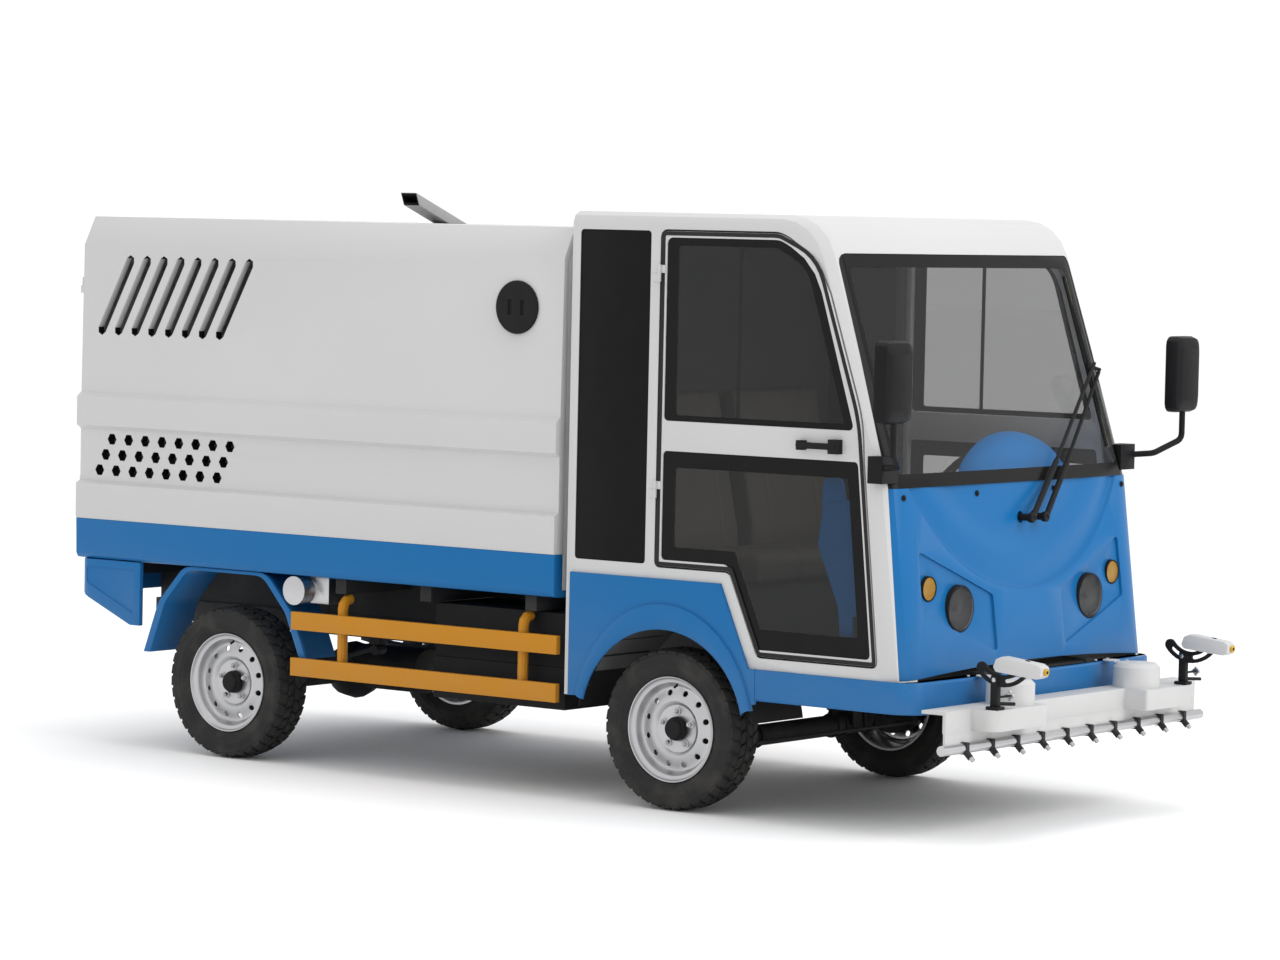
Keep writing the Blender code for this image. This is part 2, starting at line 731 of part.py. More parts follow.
def nose_recess(name, outline, depth):
    """Cutter that takes the nose back by a depth inside an outline in x and z."""
    recess = cab_skin(name, -CAB_WALL, depth)
    keep(recess, prism(f"{name}_region", outline, "Y", -CAB_NOSE - CUT_REACH, SCREEN_BASE_Y + CUT_REACH))
    return recess


def smile_outline(low, half):
    """Circle segment that hangs from the nose panel's top edge, in x and z."""
    rise = SCREEN_BASE_Z - 0.010 - low
    radius = (half ** 2 + rise ** 2) / (2 * rise)
    reach = math.degrees(math.asin(half / radius))
    points = arc((0.0, low + radius), radius, -90 - reach, -90 + reach, 15)
    return points + [(half, SCREEN_BASE_Z + 0.05), (-half, SCREEN_BASE_Z + 0.05)]


def build_nose(mats):
    """Windscreen, and the nose panel with its three stepped arcs and two lamp pockets."""
    panel = cab_skin("front_panel", 0.0, NOSE_THICKNESS, mats["blue"])
    keep(panel, prism("nose_region", round_corners(front_panel_outline()), "Y",
                      -CAB_NOSE - CUT_REACH, SCREEN_BASE_Y + 0.17))
    ahead = -CAB_NOSE - CUT_REACH
    levels = (PANEL_BOTTOM_Z - 0.05, LAMP_Z, SCREEN_BASE_Z, SCREEN_BASE_Z + 0.05)
    behind = [(front_line(z) + NOSE_RETURN, z) for z in levels]
    keep(panel, prism("nose_return", behind + [(ahead, levels[-1]), (ahead, levels[0])], "X", -1, 1))
    for number, (low, half) in enumerate(SMILE_ARCS):
        cut(panel, nose_recess(f"smile_{number}", smile_outline(low, half), SMILE_STEP * (number + 1)))
    for side in (-1, 1):
        pocket = round_corners([(side * x, z, 0.012) for x, z in POCKET_CORNERS], 2)
        cut(panel, nose_recess(f"lamp_pocket_{side_name(side)}", pocket, POCKET_DEPTH))
    screen = cab_skin("windshield", 0.003, 0.003 + GLASS, mats["glass"])
    keep(screen, prism("screen_region", round_corners(screen_outline(), 3), "Y",
                       -CAB_NOSE - CUT_REACH, SCREEN_TOP_Y + 0.36))


def bumper_outline(half, nose, corner, start):
    """Right-hand half of the bumper's plan edge, from the side seam to the centre."""
    points = [(half, start)]
    points += arc((half - corner, -nose + CAB_BOW + corner), corner, 0, -90, 4)
    for share in (0.66, 0.33, 0.0):
        x = share * (half - corner)
        points.append((x, -nose + CAB_BOW * (x / (half - corner)) ** 2))
    return points


def build_bumper(mats):
    """Wrap-round bumper swept through sections with chamfered outer edges."""
    outer = bumper_outline(PANEL_OUTER_X, BUMPER_NOSE, BUMPER_CORNER, BUMPER_START)
    inner = bumper_outline(CAB_HALF_WIDTH + SEAM, CAB_NOSE + 0.022, CAB_CORNER - 0.014, BUMPER_START)
    pairs = list(zip(outer, inner))
    pairs += [((-o[0], o[1]), (-i[0], i[1])) for o, i in reversed(pairs[:-1])]
    sections = []
    for o, i in pairs:
        inward = Vector(i) - Vector(o)
        edge = Vector(o) + inward.normalized() * BUMPER_EDGE
        sections.append([
            (*o, BUMPER_BOTTOM + BUMPER_EDGE), (*o, BUMPER_TOP - BUMPER_EDGE), (*edge, BUMPER_TOP),
            (*i, BUMPER_TOP), (*i, BUMPER_BOTTOM), (*edge, BUMPER_BOTTOM)])
    loft("bumper", sections, mats["blue"])


def build_side_panel(side, mats):
    """Blue panel over the front wheel, with its flared arch."""
    label = side_name(side)
    outline = [
        (CAB_REAR - 0.024, CAB_BOTTOM), (CAB_REAR - 0.024, DOOR_STEP - 0.043), (-0.230, DOOR_STEP - 0.043),
        (-0.353, BUMPER_TOP), (BUMPER_START + SEAM, BUMPER_TOP), (BUMPER_START + SEAM, CAB_BOTTOM + 0.03),
    ]
    inner = CAB_HALF_WIDTH + SEAM
    panel = prism(f"side_panel_{label}", outline, "X", side * inner, side * PANEL_OUTER_X, mats["blue"])
    flare_outline = [(y / FLARE_TOP * FLARE_HALF, z) for y, z in arc((0, AXLE_Z), FLARE_TOP, 13, 167, 16)]
    flare = prism(f"flare_{label}", flare_outline, "X", side * (inner + 0.002),
                  side * (PANEL_OUTER_X + ARCH_FLARE_DEPTH))
    join(panel, flare)
    cut(panel, cylinder(f"panel_arch_{label}", (0, 0, AXLE_Z), "X", ARCH_RADIUS,
                        side * (inner - 0.05), side * (PANEL_OUTER_X + 0.05), 28))


def build_cab_floor(mats):
    """Cab floor with the two wheel houses and the seat box."""
    half = CAB_HALF_WIDTH - CAB_WALL - TOUCH
    front, rear = -(CAB_NOSE - 0.10), CAB_REAR - CAB_WALL - TOUCH
    floor = block("cab_floor", (-half, front, RAIL_TOP + TOUCH), (half, rear, FLOOR_TOP), mats["dark"])
    house = arc((0, AXLE_Z), ARCH_RADIUS + 0.018, 27, 153, 12)
    for side in (-1, 1):
        label = side_name(side)
        join(floor, prism(f"wheel_house_{label}", house, "X", side * (ARCH_INNER_X - 0.016), side * half))
    join(floor, block("seat_box", (-SEAT_BOX_HALF, SEAT_FRONT + 0.06, FLOOR_TOP - 0.01),
                      (SEAT_BOX_HALF, 0.36, SEAT_BASE)))
    for side in (-1, 1):
        label = side_name(side)
        cut(floor, cylinder(f"floor_arch_{label}", (0, 0, AXLE_Z), "X", ARCH_RADIUS + 0.002,
                            side * ARCH_INNER_X, side * (half + 0.1), 28))


def build_seats(mats):
    cushion_rear = SEAT_BACK_Y - 0.005
    cushion = round_corners([
        (SEAT_FRONT, SEAT_BASE + TOUCH, 0.02), (cushion_rear, SEAT_BASE + TOUCH, 0.02),
        (cushion_rear, SEAT_BASE + 0.10, 0.03), (SEAT_FRONT, SEAT_BASE + 0.12, 0.04)], 3)
    prism("seat_cushion", cushion, "X", -SEAT_HALF, SEAT_HALF, mats["seat"])
    back_top = SEAT_BASE + SEAT_BACK_HEIGHT
    back = round_corners([
        (SEAT_BACK_Y, SEAT_BASE + TOUCH, 0.02), (SEAT_BACK_Y + 0.125, SEAT_BASE + TOUCH, 0.02),
        (SEAT_BACK_Y + 0.190, back_top, 0.03), (SEAT_BACK_Y + 0.110, back_top + 0.01, 0.03)], 3)
    prism("seat_back", back, "X", -SEAT_HALF, SEAT_HALF, mats["seat"])


def steering_tilt():
    """Places a piece built round the steering column's axis."""
    return Matrix.Translation(STEERING_HUB) @ Matrix.Rotation(math.radians(-STEERING_TILT), 4, "X")


def build_dashboard(mats):
    """Dashboard with an instrument hood and a socket for the steering column."""
    front, rear, top, low = DASH_FRONT, DASH_FRONT + DASH_DEPTH, DASH_TOP, DASH_TOP - DASH_HEIGHT
    outline = round_corners([
        (front, low, 0.0), (front + 0.175, low, 0.03), (rear, top - 0.17, 0.05),
        (rear - 0.02, top - 0.03, 0.04),
        (front + 0.075, top, 0.04), (front, top - 0.02, 0.0)], 3)
    half = CAB_HALF_WIDTH - CAB_WALL - TOUCH
    dash = prism("dashboard", outline, "X", -half, half, mats["blue"])
    hood = []
    for k in range(9):
        turn = math.radians(180 - 22.5 * k)
        hood.append((STEERING_X + HOOD_HALF * math.cos(turn), top - 0.04 + HOOD_HEIGHT * math.sin(turn)))
    join(dash, prism("instrument_hood", hood, "Y", front + 0.075, front + 0.215))
    lean = [(front - 0.325, low - 0.12), (front + 0.025, low - 0.12), (front + 0.025, top + 0.03),
            (front + 0.075, top + 0.28), (front - 0.325, top + 0.28)]
    cut(dash, prism("nose_clearance", lean, "X", -1, 1))
    socket = cylinder("column_socket", (0, 0, 0), "Z", COLUMN_RADIUS + TOUCH * 2, -COLUMN_LENGTH - TOUCH,
                      0.0, 12)
    socket.data.transform(steering_tilt())
    cut(dash, socket)


def build_steering_wheel(mats):
    """Wheel and column; the column's foot meets the dashboard."""
    rim = []
    for k in range(8):
        turn = 2 * math.pi * k / 8
        rim.append((STEERING_RIM * math.sin(turn), STEERING_RADIUS + STEERING_RIM * math.cos(turn)))
    bm = bmesh.new()
    revolve(bm, rim, (0, 0, 0), "Z", 20, closed=True)
    wheel = finish("steering_wheel", bm, mats["rubber"], smooth=True)
    hub = cylinder("wheel_hub", (0, 0, 0), "Z", 0.045, -0.05, 0.012, 12)
    spokes = [block("spoke_across", (-STEERING_RADIUS, -0.014, -0.006), (STEERING_RADIUS, 0.014, 0.006)),
              block("spoke_down", (-0.014, -STEERING_RADIUS, -0.006), (0.014, 0.0, 0.006))]
    column = cylinder("column", (0, 0, 0), "Z", COLUMN_RADIUS, -COLUMN_LENGTH, -0.02, 12)
    tilt = steering_tilt()
    for piece in (wheel, hub, *spokes, column):
        piece.data.transform(tilt)
    join(wheel, hub, *spokes, column)


def build_door(side, mats):
    """Side door hung at its rear edge, with two windows cut through its frame."""
    label = side_name(side)
    pivot = (*hinge_line(side), DOOR_BOTTOM)
    inner, outer = side * (CAB_HALF_WIDTH - CAB_WALL), side * CAB_HALF_WIDTH
    door = prism(f"door_{label}", round_corners(door_outline(), 3), "X", inner, outer, mats["white"],
                 pivot=pivot)
    through = (side * (CAB_HALF_WIDTH - 0.08), side * (CAB_HALF_WIDTH + 0.08))
    cut(door,
        prism(f"upper_window_cut_{label}", opening(upper_window_outline(), SEAM), "X", *through),
        prism(f"lower_window_cut_{label}", opening(lower_window_outline(), SEAM), "X", *through))
    for low in HINGE_LEVELS:
        join(door, hinge_half(f"door_hinge_{label}_{low}", side, low, True))
    pane = (side * (CAB_HALF_WIDTH - 0.004 - GLASS), side * (CAB_HALF_WIDTH - 0.004))
    for place_name, outline in (("upper", upper_window_outline()), ("lower", lower_window_outline())):
        prism(f"{place_name}_pane_{label}", round_corners(outline, 3), "X", *pane, mats["glass"],
              pivot=pivot)
    build_door_handle(side, mats, pivot)


def build_door_handle(side, mats, pivot):
    """Black bar handle on two feet."""
    label = side_name(side)
    face = CAB_HALF_WIDTH + TOUCH
    grip_x = side * (face + HANDLE_STAND - 0.006)
    handle = bar(f"door_handle_{label}", [(grip_x, HANDLE_FRONT + 0.01, HANDLE_Z),
                                          (grip_x, HANDLE_REAR - 0.002, HANDLE_Z)],
                 HANDLE_RADIUS, mats["black"], pivot=pivot)
    for y, half, height in ((HANDLE_FRONT + 0.018, 0.020, 0.024), (HANDLE_REAR - 0.012, 0.012, 0.016)):
        foot = corner_pair((side * face, y - half, HANDLE_Z - height),
                           (side * (face + HANDLE_STAND), y + half, HANDLE_Z + height))
        join(handle, block(f"handle_foot_{label}_{half}", *foot))


def build_quarter_panel(side, mats):
    label = side_name(side)
    prism(f"quarter_panel_{label}", round_corners(quarter_outline(), 3), "X",
          side * (CAB_HALF_WIDTH - 0.002 - QUARTER_THICKNESS), side * (CAB_HALF_WIDTH - 0.002),
          mats["black"])


def build_lamp(side, mats):
    """Headlamp and turn lamp on one backing plate that sits in the nose panel."""
    label = side_name(side)
    base_y = front_line(LAMP_Z) + front_setback(LAMP_X) + LAMP_SINK
    amber_y = front_line(AMBER_Z) + front_setback(AMBER_X) + LAMP_SINK
    lens = [(-0.010, 0.0), (-0.008, LAMP_RADIUS * 0.55), (-0.002, LAMP_RADIUS * 0.9), (0.004, LAMP_RADIUS),
            (LAMP_DEPTH, LAMP_RADIUS * 0.86), (LAMP_DEPTH, 0.0)]
    lamp = turned(f"lamp_{label}", lens, (side * LAMP_X, base_y, LAMP_Z), "Y", 20, mats["lamp"])
    turn_lens = [(-0.008, 0.0), (-0.004, AMBER_RADIUS * 0.8), (0.002, AMBER_RADIUS),
                 (0.04, AMBER_RADIUS * 0.85),
                 (0.04, 0.0)]
    amber = turned(f"turn_{label}", turn_lens, (side * AMBER_X, amber_y, AMBER_Z), "Y", 16)
    low_x, high_x = sorted((side * (LAMP_X - 0.02), side * (AMBER_X + 0.02)))
    bridge = block(f"lamp_bridge_{label}", (low_x, base_y + 0.035, LAMP_Z - 0.03),
                   (high_x, base_y + 0.055, AMBER_Z + 0.02))
    join(lamp, amber, bridge)
    panel = bpy.data.objects["front_panel"]
    start, end = -CAB_NOSE - CUT_REACH, -CAB_NOSE + CUT_REACH
    cut(panel,
        cylinder(f"lamp_hole_{label}", (side * LAMP_X, 0, LAMP_Z), "Y", LAMP_RADIUS + SEAM, start, end, 20),
        cylinder(f"turn_hole_{label}", (side * AMBER_X, 0, AMBER_Z), "Y", AMBER_RADIUS + SEAM, start, end,
                 16))


def on_screen(x, share, proud):
    """Point in front of the windscreen at a width and a share of its height."""
    z = SCREEN_BASE_Z + share * (SCREEN_TOP_Z - SCREEN_BASE_Z)
    return x, front_line(z) + front_setback(x) - proud, z


def build_wiper(mats):
    """Two parallel arms from twin pivots to one blade."""
    base_z = SCREEN_BASE_Z - 0.12
    base_y = front_line(base_z) + front_setback(0.1)
    radius = WIPER_HUB_RADIUS
    blade = bar("wiper", [on_screen(WIPER_BLADE_X - 0.003, 0.126, 0.014),
                          on_screen(WIPER_BLADE_X, 0.912, 0.014)],
                0.010, mats["black"], sides=6)
    join(blade, bar("wiper_clamp", [on_screen(WIPER_BLADE_X - 0.003, 0.489, 0.017),
                                    on_screen(WIPER_BLADE_X + 0.065, 0.474, 0.031)], 0.012, sides=8))
    for k, (x, tip_x, share) in enumerate(((0.015, WIPER_BLADE_X + 0.030, 0.4955),
                                           (0.100, WIPER_BLADE_X + 0.060, 0.4565))):
        arm = bar(f"wiper_arm_{k}", [(x, base_y - 0.035, base_z), on_screen(tip_x, share, 0.028)], 0.008,
                  sides=8)
        hub = cylinder(f"wiper_hub_{k}", (x, base_y, base_z), "Y", radius, -0.046, NOSE_THICKNESS - 0.004,
                       12)
        join(blade, arm, hub)
        cut(bpy.data.objects["front_panel"],
            cylinder(f"wiper_hole_{k}", (x, base_y, base_z), "Y", radius + SEAM, -0.1, 0.1, 12))


def build_mirror(side, mats):
    label = side_name(side)
    cx, cy, cz = MIRROR_CENTRE
    sections = []
    for depth, scale in ((-0.5, 0.72), (-0.3, 0.95), (0.0, 1.0), (0.45, 1.0), (0.5, 0.94)):
        ring = round_corners([
            (-MIRROR_WIDTH / 2 * scale, -MIRROR_HEIGHT / 2 * scale, 0.03 * scale),
            (MIRROR_WIDTH / 2 * scale, -MIRROR_HEIGHT / 2 * scale, 0.03 * scale),
            (MIRROR_WIDTH / 2 * scale, MIRROR_HEIGHT / 2 * scale, 0.03 * scale),
            (-MIRROR_WIDTH / 2 * scale, MIRROR_HEIGHT / 2 * scale, 0.03 * scale)], 3)
        sections.append([(side * cx + p, cy + MIRROR_DEPTH * depth, cz + q) for p, q in ring])
    mirror = loft(f"mirror_{label}", sections, mats["black"])
    bx, by, bz = MIRROR_BASE
    arm = bar(f"mirror_arm_{label}", [
        (side * (bx + 0.02), by, bz, 0.0), (side * (bx + 0.055), by - 0.10, bz + 0.01, 0.03),
        (side * cx, cy, bz + 0.06, 0.03), (side * cx, cy, cz - 0.05, 0.0)], MIRROR_ARM)
    foot = block(f"mirror_foot_{label}", *corner_pair(
        (side * (bx - 0.05), by - 0.03, bz - 0.05), (side * (bx + 0.045), by + 0.03, bz + 0.04)))
    join(mirror, arm, foot)
    seat = cab_volume(f"mirror_seat_{label}", 0.0, CAB_BOTTOM)
    seat.location = (side * SEAT_GAP, -SEAT_GAP, 0.0)
    cut(mirror, seat)


def corner_pair(a, b):
    """Low and high corners of the box between two points."""
    return [min(p, q) for p, q in zip(a, b)], [max(p, q) for p, q in zip(a, b)]


# Load body

def box_side_outline():
    """Cross-section in x and z of the pressed side wall, outer face first."""
    foot = BOX_SKIRT_TOP + TOUCH
    return [
        (BOX_RIDGE_X - 0.003, foot), (BOX_RIDGE_X, foot + 0.010), (BOX_RIDGE_X, LOW_RIDGE_TOP),
        (BOX_GROOVE_X, GROOVE_BOTTOM), (BOX_GROOVE_X, GROOVE_TOP), (BOX_RIDGE_X, HIGH_RIDGE_BOTTOM),
        (BOX_RIDGE_X, HIGH_RIDGE_TOP), (BOX_GROOVE_X, UPPER_WALL_BOTTOM), (BOX_SHOULDER_X, SHOULDER_Z),
        (BOX_ROOF_HALF, BOX_TOP), (BOX_ROOF_HALF - BOX_FOLD, BOX_TOP), (BOX_INNER_HALF, INNER_SHOULDER_Z),
        (BOX_INNER_HALF, foot),
    ]


def slot_outline(number):
    """One slanted ventilation slot with round ends, in y and z."""
    top = Vector((SLOT_FIRST_TOP_Y - number * SLOT_PITCH, SLOT_TOP_Z - SLOT_WIDTH / 2))
    low = Vector((top.x + SLOT_LEAN, SLOT_BOTTOM_Z + SLOT_WIDTH / 2))
    lean = math.degrees(math.atan2(top.y - low.y, top.x - low.x))
    points = arc(top, SLOT_WIDTH / 2, lean - 90, lean + 90, 3)
    points += arc(low, SLOT_WIDTH / 2, lean + 90, lean + 270, 3)
    return points


def build_box_side(side, mats):
    label = side_name(side)
    wall = prism(f"box_side_{label}", mirrored(box_side_outline(), side), "Y", BOX_FRONT, BOX_REAR,
                 mats["white"])
    low, high = side * (BOX_INNER_HALF - 0.05), side * (BOX_RIDGE_X + 0.05)
    bm = bmesh.new()
    for number in range(SLOT_COUNT):
        extrude(bm, slot_outline(number), "X", low, high)
    for row in range(3):
        for column in range(HOLE_COLUMNS):
            centre = (HOLE_FIRST_Y + row * HOLE_ROW_SHIFT - column * SLOT_PITCH,
                      HOLE_TOP_Z - row * HOLE_ROW_STEP)
            extrude(bm, arc(centre, HOLE_RADIUS, 0, 300, 5), "X", low, high)
    cut(wall, finish(f"side_vents_{label}", bm))
    for level in REAR_HINGE_LEVELS:
        join(wall, rear_hinge_half(f"wall_hinge_{label}_{level}", side, level, False))


def build_box_floor(mats):
    """Load floor with the blue skirts that the side walls stand on."""
    ledge = BOX_INNER_HALF + 0.004
    skirt = [(BOX_RIDGE_X - 0.041, BOX_FLOOR), (BOX_RIDGE_X - 0.015, BOX_FLOOR + 0.004),
             (BOX_RIDGE_X - 0.006, BOX_FLOOR + 0.020), (BOX_RIDGE_X - 0.003, BOX_SKIRT_TOP)]
    half = skirt + [(ledge, BOX_SKIRT_TOP), (ledge, BOX_FLOOR + BOX_WALL)]
    outline = half + [(-x, z) for x, z in reversed(half)]
    prism("box_floor", outline, "Y", BOX_FRONT, BOX_REAR, mats["blue"])


def build_box_roof(mats):
    """Roof and front wall of the load body, folded as one piece."""
    inner = BOX_INNER_HALF - TOUCH
    roof_half = BOX_ROOF_HALF - BOX_FOLD - TOUCH
    roof = block("box_roof", (-roof_half, BOX_FRONT, BOX_TOP - BOX_WALL), (roof_half, BOX_REAR, BOX_TOP),
                 mats["white"])
    base = BOX_FLOOR + BOX_WALL + TOUCH
    half = [(inner, base), (inner, INNER_SHOULDER_Z), (roof_half, BOX_TOP - 0.001)]
    front = half + [(-x, z) for x, z in reversed(half)]
    join(roof, prism("box_front_wall", front, "Y", BOX_FRONT, BOX_FRONT + BOX_WALL))


def rear_hinge(side):
    """Plan position of a rear door's hinge line, behind the side wall's edge."""
    return side * (BOX_INNER_HALF + 0.010), BOX_REAR + REAR_HINGE_OFFSET


def build_rear_door(side, mats):
    """One leaf of the rear doors, hinged at the outer corner."""
    label = side_name(side)
    x, y = rear_hinge(side)
    inner_x = REAR_DOOR_GAP / 2
    outer_x = BOX_INNER_HALF - REAR_DOOR_GAP
    low, high = BOX_FLOOR + BOX_WALL + REAR_DOOR_GAP, INNER_SHOULDER_Z - 0.005
    roof = BOX_TOP - BOX_WALL - REAR_DOOR_GAP
    rear = BOX_REAR + 0.004
    front = rear - REAR_DOOR_THICKNESS
    outline = [(inner_x, low), (outer_x, low), (outer_x, high), (BOX_ROOF_HALF - 1.5 * BOX_FOLD, roof),
               (inner_x, roof)]
    door = prism(f"rear_door_{label}", mirrored(outline, side), "Y", front, rear, mats["white"],
                 pivot=(x, y, low))
    edge = REAR_DOOR_MARGIN
    recess = [(inner_x + edge, low + 1.4 * edge), (outer_x - edge, low + 1.4 * edge),
              (outer_x - edge, high - 1.4 * edge), (inner_x + edge, high - 1.4 * edge)]
    cut(door, prism(f"rear_recess_{label}", mirrored(recess, side), "Y", rear - REAR_DOOR_RECESS,
                    rear + 0.05))
    for level in REAR_HINGE_LEVELS:
        join(door, rear_hinge_half(f"leaf_hinge_{label}_{level}", side, level, True))
    lock_z = (low + high) / 2
    join(door, block(f"rear_lock_{label}", *corner_pair(
        (side * 0.03, rear - 0.002, lock_z - 0.08), (side * 0.06, rear + 0.012, lock_z + 0.08))))


def rear_hinge_half(name, side, level, on_door):
    x, y = rear_hinge(side)
    start = level + (REAR_HINGE_HALF + TOUCH if on_door else 0.0)
    end = start + REAR_HINGE_HALF
    barrel = cylinder(name, (x, y, 0), "Z", REAR_HINGE_RADIUS, start, end, 8)
    reach = -0.05 if on_door else 0.018
    seat = BOX_REAR + (0.0015 if on_door else -0.003)
    strap = corner_pair((x, seat, start + 0.001), (x + side * reach, y + 0.004, end - 0.001))
    join(barrel, block(f"{name}_strap", *strap))
    return barrel


def build_port_cap(mats):
    """Round flush cap with two finger slots on the right-hand wall."""
    fall = (CAP_Z - CAP_RADIUS - UPPER_WALL_BOTTOM) / (SHOULDER_Z - UPPER_WALL_BOTTOM)
    face = BOX_GROOVE_X - fall * (BOX_GROOVE_X - BOX_SHOULDER_X) + TOUCH
    front = face + CAP_DEPTH
    profile = [(-face, 0.0), (-face, CAP_RADIUS), (-front + 0.004, CAP_RADIUS),
               (-front, CAP_RADIUS - 0.006), (-front, 0.0)]
    cap = turned("port_cap", profile, (0, CAP_Y, CAP_Z), "X", 32, mats["black"])
    for offset in (-0.028, 0.028):
        cut(cap, block(f"finger_slot_{offset}", (-front - 0.05, CAP_Y + offset - 0.008, CAP_Z - 0.026),
                       (-front + 0.007, CAP_Y + offset + 0.008, CAP_Z + 0.026)))


def build_filler_chute(mats):
    """Square filling duct that slants up from the load roof to its open mouth."""
    rear, low, top = CHUTE_REAR, BOX_TOP + TOUCH, BOX_TOP + CHUTE_HEIGHT
    mouth_low = top - CHUTE_MOUTH
    outline = [(rear - CHUTE_LENGTH, low), (rear - CHUTE_FOOT, low), (rear, mouth_low), (rear - 0.02, top)]
    chute = prism("filler_chute", outline, "X", -CHUTE_HALF, CHUTE_HALF, mats["steel"])
    floor_rise = (mouth_low - low) / CHUTE_FOOT
    top_rise = (top - low) / (CHUTE_LENGTH - 0.02)
    inside = rear - CHUTE_FOOT
    behind = rear + 0.03
    hollow = [
        (inside, low + CHUTE_SHEET), (behind, low + CHUTE_SHEET + floor_rise * (behind - inside)),
        (behind, low - CHUTE_SHEET + top_rise * (behind - rear + CHUTE_LENGTH)),
        (inside, low - CHUTE_SHEET + top_rise * (CHUTE_LENGTH - CHUTE_FOOT)),
    ]
    inner = CHUTE_HALF - CHUTE_SHEET
    cut(chute, prism("chute_mouth", hollow, "X", -inner, inner))


def build_tank(mats):
    """Water tank and pump set inside the load body, as one heavy block."""
    block("water_tank", (-TANK_HALF, TANK_FRONT, BOX_FLOOR + BOX_WALL + TOUCH),
          (TANK_HALF, TANK_REAR, TANK_TOP),
          mats["dark"])


# Frame and running gear

def build_frame(mats):
    frame = block("chassis_frame", (-RAIL_X - RAIL_WIDTH / 2, RAIL_FRONT, RAIL_BOTTOM),
                  (-RAIL_X + RAIL_WIDTH / 2, RAIL_REAR, RAIL_TOP), mats["dark"])
    join(frame, block("rail_left", (RAIL_X - RAIL_WIDTH / 2, RAIL_FRONT, RAIL_BOTTOM),
                      (RAIL_X + RAIL_WIDTH / 2, RAIL_REAR, RAIL_TOP)))
    near_axle = SPRING_REACH + 0.07
    members = (RAIL_FRONT + 0.035, -near_axle - 0.01, near_axle - 0.01, REAR_AXLE_Y - 0.85,
               REAR_AXLE_Y - near_axle,
               REAR_AXLE_Y + near_axle, REAR_AXLE_Y + 0.63)
    for number, y in enumerate(members):
        join(frame, block(f"cross_member_{number}", (-RAIL_X, y - CROSS_MEMBER / 2, RAIL_BOTTOM + 0.005),
                          (RAIL_X, y + CROSS_MEMBER / 2, RAIL_TOP - 0.005)))
    for side in (-1, 1):
        label = side_name(side)
        x = side * RAIL_X
        join(frame, block(f"sub_rail_{label}", *corner_pair(
            (x - SUB_RAIL_WIDTH / 2, BOX_FRONT + 0.02, RAIL_TOP - 0.01),
            (x + SUB_RAIL_WIDTH / 2, RAIL_REAR - 0.02, BOX_FLOOR - 0.04))))
        for axle_y, axle_name in ((0.0, "front"), (REAR_AXLE_Y, "rear")):
            for end in (-1, 1):
                y = axle_y + end * SPRING_REACH
                top_of_eye = spring_eye_z() + EYE_RADIUS + TOUCH
                join(frame, block(f"hanger_{label}_{axle_name}_{end}",
                                  (x - SPRING_WIDTH / 2, y - 0.025, top_of_eye),
                                  (x + SPRING_WIDTH / 2, y + 0.025, RAIL_BOTTOM + 0.01)))
    half, low = BOX_RIDGE_X - 0.048, BOX_FLOOR - BEARER_DEPTH
    for number, y in enumerate((BOX_FRONT + 0.134, REAR_AXLE_Y - 0.95, REAR_AXLE_Y - 0.55,
                                REAR_AXLE_Y + 0.55)):
        join(frame, block(f"bearer_{number}", (-half, y - BEARER_WIDTH / 2, low),
                          (half, y + BEARER_WIDTH / 2, BOX_FLOOR - TOUCH)))


def spring_eye_z():
    return AXLE_Z + AXLE_RADIUS + 0.02 + SPRING_RISE


def leaf_spring(name, x, y, base_z):
    """Two-leaf pack along Y, arched up to an eye at each end."""
    rise = spring_eye_z() - base_z
    short = 0.62

    def leaf_point(share, layers):
        z = base_z + rise * share ** 2 + SPRING_LEAF * (1 - layers)
        return (y + share * SPRING_REACH, z)

    shares = (-1, -short, -0.3, 0.0, 0.3, short, 1)
    outline = [leaf_point(share, 0) for share in shares]
    outline += [leaf_point(1, 1), leaf_point(short, 1), leaf_point(short, 2), leaf_point(0.3, 2)]
    outline += [leaf_point(0.0, 2), leaf_point(-0.3, 2), leaf_point(-short, 2), leaf_point(-short, 1)]
    outline.append(leaf_point(-1, 1))
    leaves = prism(f"{name}_leaves", outline, "X", x - SPRING_WIDTH / 2, x + SPRING_WIDTH / 2)
    eyes = [cylinder(f"{name}_eye_{end}", (x, y + end * SPRING_REACH, spring_eye_z()), "X", EYE_RADIUS,
                     -SPRING_WIDTH / 2 - 0.002, SPRING_WIDTH / 2 + 0.002, 8) for end in (-1, 1)]
    return [leaves] + eyes


